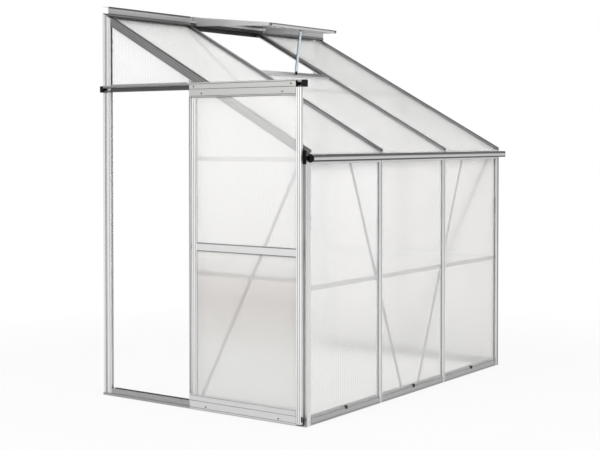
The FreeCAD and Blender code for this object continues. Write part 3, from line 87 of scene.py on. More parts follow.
def solids_of(name):
    """The lowest and highest corner of each loose solid of a node."""
    mesh = nodes[name].data
    points = np.empty(len(mesh.vertices) * 3)
    mesh.vertices.foreach_get("co", points)
    points = points.reshape(-1, 3)
    edges = np.empty(len(mesh.edges) * 2, np.int64)
    mesh.edges.foreach_get("vertices", edges)
    _, same = np.unique(np.round(points, 6), axis=0, return_inverse=True)
    same = same.ravel()
    edges = same[edges.reshape(-1, 2)]
    label = np.arange(same.max() + 1)
    changed = True
    while changed:
        lowest = label[edges].min(axis=1)
        before = label.copy()
        np.minimum.at(label, edges[:, 0], lowest)
        np.minimum.at(label, edges[:, 1], lowest)
        label = label[label]
        changed = bool((label != before).any())
    owner = label[same]
    return [
        (points[owner == one].min(axis=0), points[owner == one].max(axis=0))
        for one in np.unique(owner)
    ]


near_x = low_high("door_jamb")[0][0]
far_x = low_high("far_gable_bar")[1][0]
front_y = low_high("front_bar_near")[0][1]
rafter_high = low_high("rafter_near")[1]
eave_z = 1.240
wall_y = low_high("ridge_rail")[1][1]
print("gables", near_x.round(4), far_x.round(4))
print("front", front_y.round(4), "wall", wall_y.round(4))

# %% [markdown]
# A surface is a grid of points: one parameter runs along it, the other across. Joining each point
# to its neighbours gives the faces. A closed outline comes back to its first point, and its two
# ends are closed by one face each. A piece may also carry a mark on each point: 1 deep in a groove
# or an inner corner, and 0 on open faces. The metals darken by it, so the mark is painted shade:
# the shade that falls into the hollows of a real bar and draws its dark lines. A face that lies
# in the shade has a mark too.

# %% From a grid of points to a mesh
def surface(name, points, wrap_across=False, wrap_along=False, ends=False, shade_mark=0.0):
    """Face (i, j) joins the points (i, j), (i+1, j), (i+1, j+1), (i, j+1) of the grid."""
    along, across, _ = points.shape
    index = np.arange(along * across).reshape(along, across)
    last = index[-1].tolist()
    if wrap_across:
        index = np.hstack([index, index[:, :1]])
    if wrap_along:
        index = np.vstack([index, index[:1]])
    quads = np.stack([index[:-1, :-1], index[1:, :-1], index[1:, 1:], index[:-1, 1:]], axis=-1)
    faces = quads.reshape(-1, 4).tolist()
    if ends:
        faces += [list(range(across))[::-1], last]
    mesh = bpy.data.meshes.new(name)
    mesh.from_pydata(points.reshape(-1, 3).tolist(), [], faces)
    mesh.update()
    marks = mesh.attributes.new("shade_mark", "FLOAT", "POINT")
    marks.data.foreach_set("value", (np.zeros((along, across)) + shade_mark).ravel())
    piece = bpy.data.objects.new(name, mesh)
    bpy.context.scene.collection.objects.link(piece)
    return piece


def joined(name, members, sharper_than=35):
    """Several surfaces as one piece: doubles merged, faces turned outwards, soft bends shaded."""
    whole = bmesh.new()
    for member in members:
        whole.from_mesh(member.data)
        bpy.data.objects.remove(member)
    bmesh.ops.remove_doubles(whole, verts=whole.verts, dist=1e-6)
    bmesh.ops.dissolve_degenerate(whole, dist=1e-7, edges=whole.edges)
    bmesh.ops.recalc_face_normals(whole, faces=whole.faces)
    mesh = bpy.data.meshes.new(name)
    whole.to_mesh(mesh)
    whole.free()
    mesh.polygons.foreach_set("use_smooth", np.ones(len(mesh.polygons), bool))
    mesh.set_sharp_from_angle(angle=math.radians(sharper_than))
    piece = bpy.data.objects.new(name, mesh)
    bpy.context.scene.collection.objects.link(piece)
    return piece


# %% [markdown]
# Extruded aluminium has one outline along its whole length, and a die never leaves a sharp corner.
# So a bar is an outline in millimetres with its corners rounded, carried along a line. A bend is
# drawn between a point before the corner and a point after it.

# %% Outlines and the bars made from them
def bends(corners, radius, steps):
    """Bend = (1-t)^2 * before + 2t(1-t) * corner + t^2 * after, for each corner of an outline."""
    share = np.linspace(0, 1, steps)[None, :, None]

    def towards(other):
        """Point = corner + way along the edge * the smaller of radius and 0.45 * its length."""
        edge = other - corners
        length = np.linalg.norm(edge, axis=1, keepdims=True)
        return (corners + edge / length * np.minimum(radius, 0.45 * length))[:, None]

    before, after = towards(np.roll(corners, 1, axis=0)), towards(np.roll(corners, -1, axis=0))
    middle = 2 * share * (1 - share) * corners[:, None]
    return (1 - share) ** 2 * before + middle + share**2 * after


def rounded(corners, radius=0.7, steps=4, fade=2.5):
    """A closed outline in metres, each corner bent as above. The third number is the mark of
    painted
    shade: 1 in a hollow corner, where the cross product of its two edges has the other sign than
    the area, and 0 again at the fade's distance from it."""
    corners = np.array(corners, float)
    bend = bends(corners, radius, steps)
    behind, ahead = np.roll(corners, 1, axis=0), np.roll(corners, -1, axis=0)
    leave, reach = corners - behind, ahead - corners
    way_round = np.sign((corners[:, 0] * ahead[:, 1] - corners[:, 1] * ahead[:, 0]).sum())
    shade_mark = ((leave[:, 0] * reach[:, 1] - leave[:, 1] * reach[:, 0]) * way_round < -1e-6) * 1.0
    # Each straight run gets two more points. The mark has faded to 0 there, unless the run is
    # shorter than the fade: then each takes a share of both corners.
    start, end = bend[:, -1], np.roll(bend[:, 0], -1, axis=0)
    length = np.maximum(np.linalg.norm(end - start, axis=1), 1e-6)
    near = np.minimum(fade, length / 2)[:, None] / length[:, None]
    short, following = length <= fade, np.roll(shade_mark, -1)
    middle = near[:, 0]
    marks = np.repeat(shade_mark[:, None], steps + 2, axis=1)
    marks[:, -2] = np.where(short, (1 - middle) * shade_mark + middle * following, 0)
    marks[:, -1] = np.where(short, middle * shade_mark + (1 - middle) * following, 0)
    places = [bend, (start + near * (end - start))[:, None], (end - near * (end - start))[:, None]]
    points = np.concatenate(places, axis=1)
    return np.concatenate([points / 1000, marks[..., None]], axis=2).reshape(-1, 3)


def grooves(start, end, places, width=2.0, depth=1.0, floor=0.0):
    """A face from start to end, in millimetres. Groove = start + place * way, then width / 2 to
    each side, and its bottom lies depth to the left of the way. A floor makes the bottom flat."""
    start, end = np.array(start, float), np.array(end, float)
    way = (end - start) / np.linalg.norm(end - start)
    inwards = np.array([-way[1], way[0]])
    points = [start]
    for place in places:
        bottom = [place] if floor == 0 else [place - floor / 2, place + floor / 2]
        points.append(start + (place - width / 2) * way)
        points += [start + one * way + depth * inwards for one in bottom]
        points.append(start + (place + width / 2) * way)
    return points + [end]


def bar(outline, place, across, depth, along, low, high):
    """Point = place + u * across + v * depth + distance * along. Each end may be a slanted cut."""
    place, across, depth, along = (np.array(one, float) for one in (place, across, depth, along))
    base = place + outline[:, :1] * across + outline[:, 1:2] * depth
    reach = np.stack([low(base) if callable(low) else np.full(len(base), low),
                      high(base) if callable(high) else np.full(len(base), high)])
    points = base + reach[..., None] * along
    return surface("bar", points, wrap_across=True, ends=True, shade_mark=outline[:, 2])


X, Y, Z = np.eye(3)
slope = (rafter_high[2] - eave_z) / (rafter_high[1] - front_y)
secant = math.hypot(1, slope)
ROOF = Y + slope * Z


def roof(y):
    """Height = eave + slope * distance from the front: the roof bars' outer faces, in metres."""
    return eave_z + slope * (y - front_y)


print("roof rises", round(slope, 4), "per metre, at the wall", round(roof(wall_y), 4))

# %% [markdown]
# A glazing bar is one extrusion: a nose outside, a flange that the sheets lie on, and a channel
# for bolts inside. The nose has sloping flanks, and a valley between two flat beads. They catch
# the light as thin lines, which is why the bars don't look like flat strips, and a plain box
# would lose them. Half an outline is enough, because the bar is the same on both sides. The
# flanks of the roof bars lie in the shade, so they get painted shade, as a hollow does.

# %% Glazing bars of the front, the gables and the roof
def mirrored(half):
    """A symmetrical outline: the half's points (u, v), and then (-u, v) on the way back."""
    half = np.array(half, float)
    return np.vstack([half, half[::-1] * (-1, 1)])


def glazing_bar(nose, flank, flange):
    """The outline of a bar whose nose and flange reach so far to each side, in millimetres."""
    return rounded(mirrored([
        (1.6, 2.0), (3.4, 0.0), (nose - flank - 1.0, 0.0), (nose - flank, 0.8), (nose, 8.2),
        (nose, 9.5), (1.5, 9.5), (1.5, 14.0), (flange, 14.0), (flange, 16.0), (7.0, 16.0),
        (7.0, 26.0), (3.5, 26.0), (3.5, 24.0), (5.0, 24.0), (5.0, 16.0),
    ]))


def raise_marks(outline, marks):
    """Painted shade = the larger of the outline's mark and the given one, point by point."""
    outline[:, 2] = np.maximum(outline[:, 2], marks)


def middle_of(name, axis):
    """Middle = (lowest + highest) / 2 of a node, along one axis."""
    low, high = low_high(name)
    return (low[axis] + high[axis]) / 2


def remade(name, members, body="frame"):
    """Joins the members into the piece that stands for a node, and lets it ride on its body."""
    piece = joined(name + "_drawn", members)
    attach(piece, body)
    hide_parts(name)


leg = 36.0


def under_rafter(base):
    """Height = the roof's outer face less a gable rafter's leg, measured upright."""
    return roof(base[:, 1]) - leg / 1000 * secant


glazing_outline = glazing_bar(nose=11.4, flank=3.4, flange=15.0)
roof_outline = glazing_bar(nose=14.0, flank=2.0, flange=22.0)
raise_marks(roof_outline, 0.75 * (np.abs(roof_outline[:, 0]) > 0.0105))
for name in ("front_bar_near", "front_bar_far"):
    low, high = low_high(name)
    place = (middle_of(name, 0), front_y, 0)
    remade(name, [bar(glazing_outline, place, X, Y, Z, low[2], high[2])])
for name, face_x, inwards in (("door_jamb", near_x, X), ("far_gable_bar", far_x, -X)):
    foot_z = low_high(name)[0][2]
    place = (face_x, middle_of(name, 1), 0)
    remade(name, [bar(glazing_outline, place, Y, inwards, Z, foot_z, under_rafter)])
for name in ("rafter_near", "rafter_far"):
    place = (middle_of(name, 0), front_y, eave_z)
    remade(name, [bar(roof_outline, place, X, -secant * Z, ROOF, 0, rafter_high[1] - front_y)])
print("glazing bars of", len(glazing_outline), "points each")

# %% [markdown]
# A corner section has two legs at a right angle. The real one is ribbed lengthwise, with a hollow
# corner and a groove beside each leg for the sheets. Two boxes would show one flat face each, so
# both legs get grooves, whose hollow corners carry painted shade and draw the dark lines of the
# real post. The outer edge of the far post lies in the shade and gets painted shade.

# %% Corner posts
front_leg = 30.0


def corner_section(wide, groove):
    """A grooved leg along depth, then a grooved leg of the given width across."""
    return rounded(
        grooves((0, leg), (0, 0), (8, 18, 29), groove, 0.55 * groove)
        + grooves((0, 0), (wide, 0), (4.5, 0.62 * wide), groove, 0.55 * groove)[1:]
        + [(wide - 1.2, 9.5), (16, 9.5), (16, 14), (leg, 14), (leg, 16), (16, 16), (16, leg),
           (14, leg), (14, 16), (9.5, 16), (9.5, leg - 1.2)],
        0.6,
    )


corners = {"near": (near_x, X), "far": (far_x, -X)}
for side, (face_x, inwards) in corners.items():
    section = corner_section(front_leg, groove=2.0)
    if side == "far":
        raise_marks(section, 0.85 * (section[:, 0] < 0.016))
    post = bar(section, (face_x, front_y, 0), inwards, Y, Z, 0.0, under_rafter)
    remade(f"corner_post_{side}", [post])
print("front legs", front_leg, "mm wide, gable legs", leg)

# %% [markdown]
# The gable rafters are the same extrusion, laid on the slope. Turning the outline would tilt its
# ends too, so the outline stays upright and is sheared along the roof instead. It is whole as far
# as the wall post, and over the post only its outer face and the sheet's seat run on.

# %% Gable rafters
post_front = low_high("wall_post_near")[0][1]
tail_outline = rounded([(0, 0), (leg, 0), (leg, 2), (0, 2)], 0.5)
seat_outline = rounded([(16, 14), (leg, 14), (leg, 16), (16, 16)], 0.5)
down = -secant * Z
for side, (face_x, inwards) in corners.items():
    name = f"gable_rafter_{side}"
    place = (face_x, front_y, eave_z)
    full, plumb = low_high(name)[1][1] - front_y, post_front - front_y
    members = [bar(corner_section(leg, groove=4.4), place, inwards, down, ROOF, 0, plumb)]
    for outline in (tail_outline, seat_outline):
        members.append(bar(outline, place, inwards, down, ROOF, plumb, full))
    remade(name, members)
print("gable rafters end at y", round(full + front_y, 4))

# %% [markdown]
# The front base rail has an outer lip, a ledge that carries the sheets, and a higher inner wall.
# It is one outline again, with a single groove near the foot of the lip, where the real rail
# shows a thin dark line.

# %% Front base rail
base_low, base_high = low_high("base_rail_front")
lip, inner, ledge = 30.0, 34.0, 12.0
inner_height = (base_high[2] - base_low[2]) * 1000
base_outline = rounded(
    grooves((0, lip), (0, 0), (lip - 7,), 3.0, 1.0)
    + [(2, 0), (2, ledge - 2), (inner - 2, ledge - 2), (inner - 2, 0), (inner, 0),
       (inner, inner_height), (inner - 2, inner_height), (inner - 2, ledge), (2, ledge), (2, lip)],
    0.5,
)
base_length = base_high[0] - base_low[0]
remade("base_rail_front", [bar(base_outline, base_low, Y, Z, X, 0, base_length)])
print("base rail lip", lip, "mm high, inner wall", round(inner_height))

# %% [markdown]
# The gutter is a trough with a rolled rim. Seen from outside it shows a round rim, a shadow line
# below it, a plain face and a bead along the foot. All of that is in one outline, which gives the
# long dark and light stripes that the eye reads as a gutter. The outer side of its rim and of its
# bead turns away from the light, so it gets painted shade.

# %% Gutter
gutter_low, gutter_high = low_high("gutter")
deep = (gutter_high[2] - gutter_low[2]) * 1000
reach = (gutter_high[1] - gutter_low[1]) * 1000
trough = rounded([
    (0, 0), (reach - 4, 0), (reach - 1.4, 0.8), (reach - 0.6, 2.6), (reach - 1.2, 4.2),
    (reach - 3.8, 5.0), (reach - 3.8, 7.4), (reach, 8.6), (reach, deep - 12.6),
    (reach - 1.4, deep - 9.2), (reach - 3.6, deep - 7.4), (reach - 3.6, deep - 5.6),
    (reach - 0.6, deep - 4.6), (reach, deep - 2.6), (reach - 1.6, deep - 0.4),
    (reach - 4.6, deep), (reach - 8.6, deep), (reach - 8.6, deep - 1.8), (reach - 5.8, deep - 2.8),
    (reach - 5.8, 2.0), (2, 2.0), (2, deep), (0, deep),
])
rim_tall, bead_tall, skin = 6.2, 5.5, 4.2
in_shade = (trough[:, 1] > (deep - rim_tall) / 1000) | (trough[:, 1] < bead_tall / 1000)
raise_marks(trough, 0.95 * (in_shade & (trough[:, 0] > (reach - skin) / 1000)))
gutter_place = (gutter_low[0], gutter_high[1], gutter_low[2])
gutter_length = gutter_high[0] - gutter_low[0]
remade("gutter", [bar(trough, gutter_place, -Y, Z, X, 0, gutter_length)])
print("gutter", round(reach), "by", round(deep), "mm, length", round(gutter_length, 3))

# %% [markdown]
# The ridge rail and the wall posts keep their solids, which have holes and lugs. Ribbed cover
# strips lie on their outer faces, as the real extrusions are ribbed there. The strip on the ridge
# leaves out the middle, where the vent is hinged. Its foot and its top edge get painted shade,
# which draws their dark lines.

# %% Cover strip on the ridge
def strip_piece(name, strips):
    """Strips that lie on a solid, as one piece that rides on the frame."""
    piece = joined(name, strips)
    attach(piece, "frame")
    return piece


ridge_high = low_high("ridge_rail")[1]
vent_low, vent_high = low_high("vent_hinge_rail")
rail_depth, lug, top_gap = 0.040, 0.006, 0.004
ridge_strip = rounded([
    (-0.6, 0), (0.6, 0), (4.6, -4.6), (4.6, -5.6), (1.0, -6.6), (1.0, -36.0), (3.2, -38.0),
    (3.2, -44.6), (1.0, -46.0), (1.0, -48.4), (3.4, -49.6), (2.6, -50.0), (-0.6, -50.0),
], 0.5, fade=3.4)
heights, marks = (-50, -38, -30, -6.8, -6.0), (0.85, 0.7, 0.1, 0.0, 0.95)
raise_marks(ridge_strip, np.interp(ridge_strip[:, 1] * 1000, heights, marks))
ridge_place = (0, wall_y - rail_depth, ridge_high[2])
ridge_runs = ((near_x, vent_low[0] - lug), (vent_high[0] + lug, far_x))
ridge_trim = strip_piece(
    "ridge_cover_strips",
    [bar(ridge_strip, ridge_place, -Y, Z, X, start, end) for start, end in ridge_runs],
)
print("ridge strips", [[round(float(end), 3) for end in run] for run in ridge_runs])

# %% [markdown]
# The strip on a wall post has one broad groove and a fine one. Both are cut into the outline of
# one flat strip, as ribs laid on the post would leave seams. The floor of the broad groove gets
# painted shade, and the strip ends under the slope of the roof.

# %% Cover strips on the wall posts
def under_roof(base):
    """Height = the lower of the roof's outer face and the ridge's top, less a small gap."""
    return np.minimum(roof(base[:, 1]), ridge_high[2]) - top_gap


post_strip = rounded(
    grooves((0, -2.2), (30, -2.2), (20,), 14.0, 2.0, 11.0)
    + grooves((30, -2.2), (52, -2.2), (13,), 4.0, 2.0)[1:]
    + [(52, 0.6), (0, 0.6)],
    0.5,
)
groove_floor = (np.abs(post_strip[:, 0] - 0.020) < 0.0065) & (post_strip[:, 1] < 0)
raise_marks(post_strip, 0.45 * groove_floor)
post_trim = strip_piece("wall_post_cover_strips", [
    bar(post_strip, (face_x, wall_y, 0), -Y, inwards, Z, 0.0, under_roof)
    for face_x, inwards in corners.values()
])
print("post strips of", len(post_strip), "points each")

# %% [markdown]
# The door has two ribbed stiles, a high plate at its top and one at its foot. The plates are bent
# sheet: each has three fine grooves along it, and a rail behind it that holds the sheet's end.
# Stiles and rails hold the sheet in the same seat, so that part of the outline is written once.
# The lower edge of the upper plate gets painted shade, because it shows as a dark line.

# %% Door stiles and plates
stile_low, stile_high = low_high("door_stiles")
door_outer, stile_wide = stile_low[0], 27
sheet_seat = [
    (stile_wide, 2), (12, 2), (12, 6.6), (stile_wide, 6.6), (stile_wide, 8.6), (12, 8.6),
    (12, 16), (0, 16),
]
stile_outline = rounded(grooves((0, 0), (stile_wide, 0), (9.0, 20.0), 4.4, 2.0) + sheet_seat)
stile_members = [
    bar(stile_outline, (door_outer, y, 0), way, X, Z, stile_low[2], stile_high[2])
    for y, way in ((stile_low[1], Y), (stile_high[1], -Y))
]
remade("door_stiles", stile_members, "door")
rail_outline = rounded([(0, 0), (stile_wide, 0)] + sheet_seat)
rail_start, rail_end = stile_low[1] + stile_wide / 1000, stile_high[1] - stile_wide / 1000
plates = (("door_header", stile_high[2], -Z), ("door_kick_plate", stile_low[2], Z))
for name, rail_z, way in plates:
    low, high = low_high(name)
    tall = (high[2] - low[2]) * 1000
    plate = rounded(
        [(0.6, 0), (0, -1.0), (0.8, -2.0)]
        + grooves((0.8, -2.0), (tall - 0.8, -2.0), (7.0, 0.55 * tall, tall - 8.0), 3.0, 1.2)[1:]
        + [(tall, -1.0), (tall - 0.6, 0)], 0.4,
    )
    if name == "door_header":
        raise_marks(plate, plate[:, 0] < 0.0024)
    remade(name, [
        bar(plate, (door_outer, 0, low[2]), Z, X, Y, low[1], high[1]),
        bar(rail_outline, (door_outer, 0, rail_z), way, X, Y, rail_start, rail_end),
    ], "door")
    print(name, "plate", round(tall), "mm high,", round((high[1] - low[1]) * 1000), "mm long")

# %% [markdown]
# The door hangs from a track: a narrow lip at the top, a groove under it, a plain face, and a
# running rail behind. The face stands back from the lip, so the rollers keep their room. It also
# lies in the lip's shade, so everything but the lip gets painted shade.

# %% Door track
track_low, track_high = low_high("door_track")
out = (track_high[0] - track_low[0]) * 1000
top = (track_high[2] - track_low[2]) * 1000
track_outline = rounded([
    (0, 0), (0, top), (out - 3.0, top), (out, top - 2.4), (out, top - 4.4), (out - 1.6, top - 5.4),
    (out - 1.6, top - 6.8), (out, top - 7.6), (out, top - 9.6), (out - 2, top - 9.6),
    (out - 2, top - 2.4), (2, top - 2.4), (2, 2.4), (13.6, 2.4), (13.6, 8), (15.8, 8), (15.8, 0),
])
on_lip = (track_outline[:, 0] > (out - 2.2) / 1000) & (track_outline[:, 1] > (top - 9) / 1000)
track_outline[:, 2] = np.where(on_lip, track_outline[:, 2], 0.9)
track_place = (track_high[0], track_low[1], track_low[2])
track_length = track_high[1] - track_low[1]
remade("door_track", [bar(track_outline, track_place, -X, Z, Y, 0, track_length)])
print("track", round(top), "mm high,", round(out), "mm out from the gable")

# %% [markdown]
# The vent's stay is a strip folded to a shallow channel, which keeps a thin strip stiff. One pin
# at its top turns in the vent's lug, and its lower end sits in a black foot. One edge of it gets
# painted shade, so the outline has two points close together where the mark starts.

# %% Vent stay
stay_low, stay_high = low_high("vent_stay")
foot_low, foot_high = low_high("vent_stay_foot")
pin_inset, past_pin, in_foot, channel_deep = 0.0079, 0.006, 0.012, 0.006
stay_top = np.array([stay_high[0], stay_low[1] + pin_inset, stay_high[2] - pin_inset])
stay_way = ((foot_low + foot_high) / 2 - stay_top) * (0, 1, 1)
stay_length = np.linalg.norm(stay_way) - in_foot
stay_way /= np.linalg.norm(stay_way)
channel = rounded([
    (-8, 0), (3.6, 0), (4.0, 0), (8, 0), (8, 6), (6.6, 6), (6.6, 1.4), (-6.6, 1.4), (-6.6, 6),
    (-8, 6),
])
channel[:, 2] = channel[:, 0] > 0.0038
stay_side, stay_place = np.cross(X, stay_way), stay_top - channel_deep * X
stay_bar = bar(channel, stay_place, stay_side, X, stay_way, -past_pin, stay_length)
remade("vent_stay", [stay_bar], "stay")
print("stay", round(float(stay_length), 3), "m long from its pin")

# %% [markdown]
# Screw heads are turned: a low dome on a thin washer, with a cross cut into the dome. The dome is
# a profile turned about the screw's axis, and the cross is pressed in by lowering the points that
# lie near one of two lines through the middle. Cutting it with a Boolean would be slower and
# would leave ragged faces on so small a piece.

# %% Turned parts
def frame_of(axis):
    """Two directions square to an axis, and the axis itself."""
    axis = np.array(axis, float)
    side = Z if abs(axis[2]) < 0.5 else X
    first = np.cross(axis, side)
    return first, np.cross(axis, first), axis


def turned(profile, centre, axis, steps=40):
    """Point = centre + distance * axis + radius * (cos angle * first + sin angle * second)."""
    first, second, axis = frame_of(axis)
    angle = np.linspace(0, 2 * np.pi, steps, endpoint=False)
    ring = np.cos(angle)[:, None] * first + np.sin(angle)[:, None] * second
    radius, distance = np.array(profile, float).T / 1000
    points = np.array(centre) + distance[:, None, None] * axis + radius[:, None, None] * ring[None]
    return surface("turned", points, wrap_across=True, wrap_along=True)


def screw_head(low, high, axis):
    """Height over the washer = rise * (1 - (r/R)^2), less a depth where |across| < 1/10."""
    low, high, axis = np.array(low), np.array(high), np.array(axis, float)
    along = int(np.argmax(np.abs(axis)))
    centre = (low + high) / 2
    centre[along] = low[along] if axis[along] > 0 else high[along]
    tall = high[along] - low[along]
    radius = (np.delete(high - low, along).max()) / 2
    first, second, axis = frame_of(axis)
    rings = [1.0, 1.0, 0.94, 0.86, 0.86, 0.8, 0.7, 0.58, 0.45, 0.32, 0.2, 0.1, 0.03]
    share = np.array(rings)[:, None]
    angle = np.linspace(0, 2 * np.pi, 48, endpoint=False)[None]
    across_a, across_b = share * np.cos(angle), share * np.sin(angle)
    dome_edge, washer, dome_foot = 0.86, 0.22, 0.35
    dome = dome_foot + (1 - dome_foot) * (1 - (share / dome_edge) ** 2)
    height = np.where(share > 0.87, washer, np.where(share > 0.83, 0.4, dome)) + 0 * angle
    height[0] = 0.0
    height[3] = washer
    cross = (np.minimum(np.abs(across_a), np.abs(across_b)) < 0.1) & (share < 0.5)
    height = np.where(cross, height - 0.35, height) * tall
    points = centre + height[..., None] * axis
    points = points + radius * (across_a[..., None] * first + across_b[..., None] * second)
    return surface("screw", points, wrap_across=True, ends=True)


# %% [markdown]
# Each solid of a node gets one head, so nothing has to be listed twice. The door's screws all
# point out of the door. A bolt is thinnest along its own axis, which tells its direction, and the
# place of the bolt tells which way round it is.

# %% Screws and bolts
def screws(name, body, axis_of):
    """One head for each solid of the node. The axis points from the metal to the head."""
    members = [screw_head(low, high, axis_of(low, high)) for low, high in solids_of(name)]
    remade(name, members, body)
    print(len(members), "heads in", name)


def bolt_axis(low, high):
    """Bolts of the straps point inwards, and the sill's screws point out of the gable."""
    thin = int(np.argmin(high - low))
    middle = (low + high)[thin] / 2
    if thin == 0 and middle > 0.5:
        return -X
    outwards = middle < (near_x if thin == 0 else front_y)
    return (-1 if outwards else 1) * (X, Y, Z)[thin]


screws("door_screws", "door", lambda low, high: -X)
screws("frame_bolts", "frame", bolt_axis)

# %% [markdown]
# The sheets are held by spring wire bent into a W. One end hooks under the bar's nose and the
# bends press on the sheet. A wire is a circle carried along a line that lies in one plane, so the
# plane's own direction and the sideways direction of the line carry the circle without a twist.

# %% Spring wire clips
def bent(corners, radius, steps=6):
    """An open line in millimetres with rounded corners: (1-t)^2 A + 2t(1-t) C + t^2 B at each."""
    corners = np.array(corners, float)
    inner = bends(corners, radius, steps)[1:-1].reshape(-1, 2)
    return np.vstack([corners[:1], inner, corners[-1:]]) / 1000


def wire(line, normal, radius=0.0013, steps=10):
    """Point = line + radius * (cos angle * plane's normal + sin angle * sideways of the line)."""
    tangent = np.gradient(line, axis=0)
    tangent /= np.linalg.norm(tangent, axis=1, keepdims=True)
    sideways = np.cross(tangent, normal)
    angle = np.linspace(0, 2 * np.pi, steps, endpoint=False)
    ring = np.cos(angle)[None, :, None] * normal + np.sin(angle)[None, :, None] * sideways[:, None]
    return surface("wire", line[:, None] + radius * ring, wrap_across=True, ends=True)


def clip_line(wide, tall):
    """The W from foot to top: out and back twice, with a short hook at each end."""
    step = tall / 4
    corners = [(4.5, 1.0), (1.0, 1.5), (1.0, 6.0), (wide - 1, step), (1.0, 2 * step),
               (wide - 1, 3 * step), (1.0, tall - 6.0), (1.0, tall - 1.5), (4.5, tall - 1.0)]
    return bent(corners, 4.0)


bar_places = {
    0: [middle_of("door_jamb", 1), wall_y],
    1: [near_x, middle_of("front_bar_near", 0), middle_of("front_bar_far", 0), far_x],
}
clip_members = []
for low, high in solids_of("glazing_clips"):
    thin = int(np.argmin(high - low))
    wide = 1 - thin
    middle = (low + high) / 2
    nearest = min(bar_places[thin], key=lambda place: abs(place - middle[wide]))
    way = 1 if middle[wide] > nearest else -1
    start = np.array([middle[0], middle[1], low[2]])
    start[wide] = low[wide] if way > 0 else high[wide]
    line = clip_line(*(1000 * (high - low)[[wide, 2]]))
    path = start + line[:, :1] * way * (X, Y)[wide] + line[:, 1:] * Z
    clip_members.append(wire(path, -np.array((X, Y)[thin])))
remade("glazing_clips", clip_members)
print(len(clip_members), "wire clips")

# %% [markdown]
# Black end caps are moulded, so no edge on them is sharp. Their outline is a superellipse, nearly
# a rectangle, and the rims roll over from the side to the faces in a quarter round. A box with a
# Bevel modifier comes close, but its sides stay dead flat, and a moulded part's never are.

# %% Moulded blocks
def moulded(low, high, axis, rim=0.0009, square=9.0, steps=64):
    """Across = sign(cos t) * |cos t|^(2/square), the same with sin, drawn in at the rims."""
    low, high = np.array(low), np.array(high)
    across = [index for index in range(3) if index != axis]
    half = (high - low) / 2
    rim = min(rim, half.min() * 0.8)
    angle = np.linspace(0, 2 * np.pi, steps, endpoint=False)
    outline = np.zeros((steps, 3))
    for index, wave in zip(across, (np.cos(angle), np.sin(angle))):
        outline[:, index] = np.sign(wave) * np.abs(wave) ** (2 / square)
    roll = np.linspace(0, np.pi / 2, 5)
    inset = rim * (1 - np.sin(roll))
    reach = half[axis] - rim * (1 - np.cos(roll))
    reach = np.concatenate([-reach, reach[::-1]])
    inset = np.concatenate([inset, inset[::-1]])
    points = np.zeros((len(reach), steps, 3))
    for index in across:
        points[..., index] = outline[None, :, index] * (half[index] - inset)[:, None]
    points[..., axis] = reach[:, None]
    return surface("moulded", points + (high + low) / 2, wrap_across=True, ends=True)


cap_members = [
    moulded(low, high, int(np.argmin(high - low))) for low, high in solids_of("end_caps")
]
remade("end_caps", cap_members)
print(len(cap_members), "end caps")

# %% [markdown]
# The gutter's outlet is a round black plug with a short spout. Its profile starts in the middle,
# goes out over the spout's rounded lip to the flange, and comes back along the inside. Turning
# one profile gives every step of it the same centre, as on the moulded part.

# %% Gutter outlet
outlet_low, outlet_high = low_high("gutter_outlet")
spout = (outlet_high[0] - outlet_low[0]) * 1000
outlet_centre = (outlet_low + outlet_high) / 2
outlet_centre[0] = outlet_high[0]
outlet_profile = [
    (0.1, 1.2), (10, 1.2), (11, 2.4), (11, spout - 1.2), (11.8, spout - 0.3), (12.6, spout),
    (13.4, spout - 0.3), (14.2, spout - 1.4), (14.2, 8.2), (15.0, 7.2), (18.0, 6.8),
    (19.0, 6.0), (19.4, 4.8), (19.4, 1.4), (18.8, 0.4), (18.0, 0.0), (0.1, 0.0),
]
remade("gutter_outlet", [turned(outlet_profile, outlet_centre, -X, 56)])
print("outlet reaches", round(spout, 1), "mm out")

# %% [markdown]
# The finishes come next. A material is a tree of nodes. Most of its lines say that one node feeds
# another, so a few helpers make a node and join its inputs in one go. Each gives back the output
# that the next one needs, and a material then reads from top to bottom.

# %% Shader helpers
def feed(tree, socket, value):
    """Joins an input to an output, or sets it to a number, a colour or a direction."""
    if isinstance(value, bpy.types.NodeSocket):
        tree.links.new(value, socket)
    else:
        socket.default_value = value


def add_node(tree, kind, settings=(), **values):
    """A node with its settings, and its inputs fed by their names."""
    node = tree.nodes.new(kind)
    for label, value in dict(settings).items():
        setattr(node, label, value)
    for label, value in values.items():
        feed(tree, node.inputs[label.replace("_", " ")], value)
    return node


def worked_out(tree, node, values, output=0):
    """A node fed with the values in order. Gives back one of its outputs."""
    for socket, value in zip(node.inputs, values):
        feed(tree, socket, value)
    return node.outputs[output]


def math_node(tree, operation, *values, clamp=False):
    """A sum, product or the like of two or three sockets or numbers."""
    node = add_node(tree, "ShaderNodeMath", {"operation": operation, "use_clamp": clamp})
    return worked_out(tree, node, values)


def vector_node(tree, operation, *values, output="Vector"):
    """The same for directions. A dot product and a length come out as a Value."""
    node = add_node(tree, "ShaderNodeVectorMath", {"operation": operation})
    return worked_out(tree, node, values, output)


def dimmed(tree, colour, share):
    """Colour = colour * share."""
    node = add_node(tree, "ShaderNodeVectorMath", {"operation": "SCALE"}, Scale=share)
    return worked_out(tree, node, [colour])


def ranged(tree, value, start, end, low, high):
    """Runs from low to high as the value goes from start to end, and is level outside."""
    return add_node(
        tree, "ShaderNodeMapRange", Value=value, From_Min=start, From_Max=end, To_Min=low,
        To_Max=high,
    ).outputs[0]


def colour_ramp(tree, share, tones):
    """A colour that runs from tone to tone. Each is a place from 0 to 1 and its colour."""
    ramp = add_node(tree, "ShaderNodeValToRGB", Fac=share)
    elements = ramp.color_ramp.elements
    for number, (place, colour) in enumerate(tones):
        element = elements[number] if number < 2 else elements.new(place)
        element.position = place
        element.color = (*colour, 1)
    return ramp.outputs[0]


def object_place(tree):
    """The point of the surface in metres. It stays with the piece when the piece moves."""
    return add_node(tree, "ShaderNodeTexCoord").outputs["Object"]


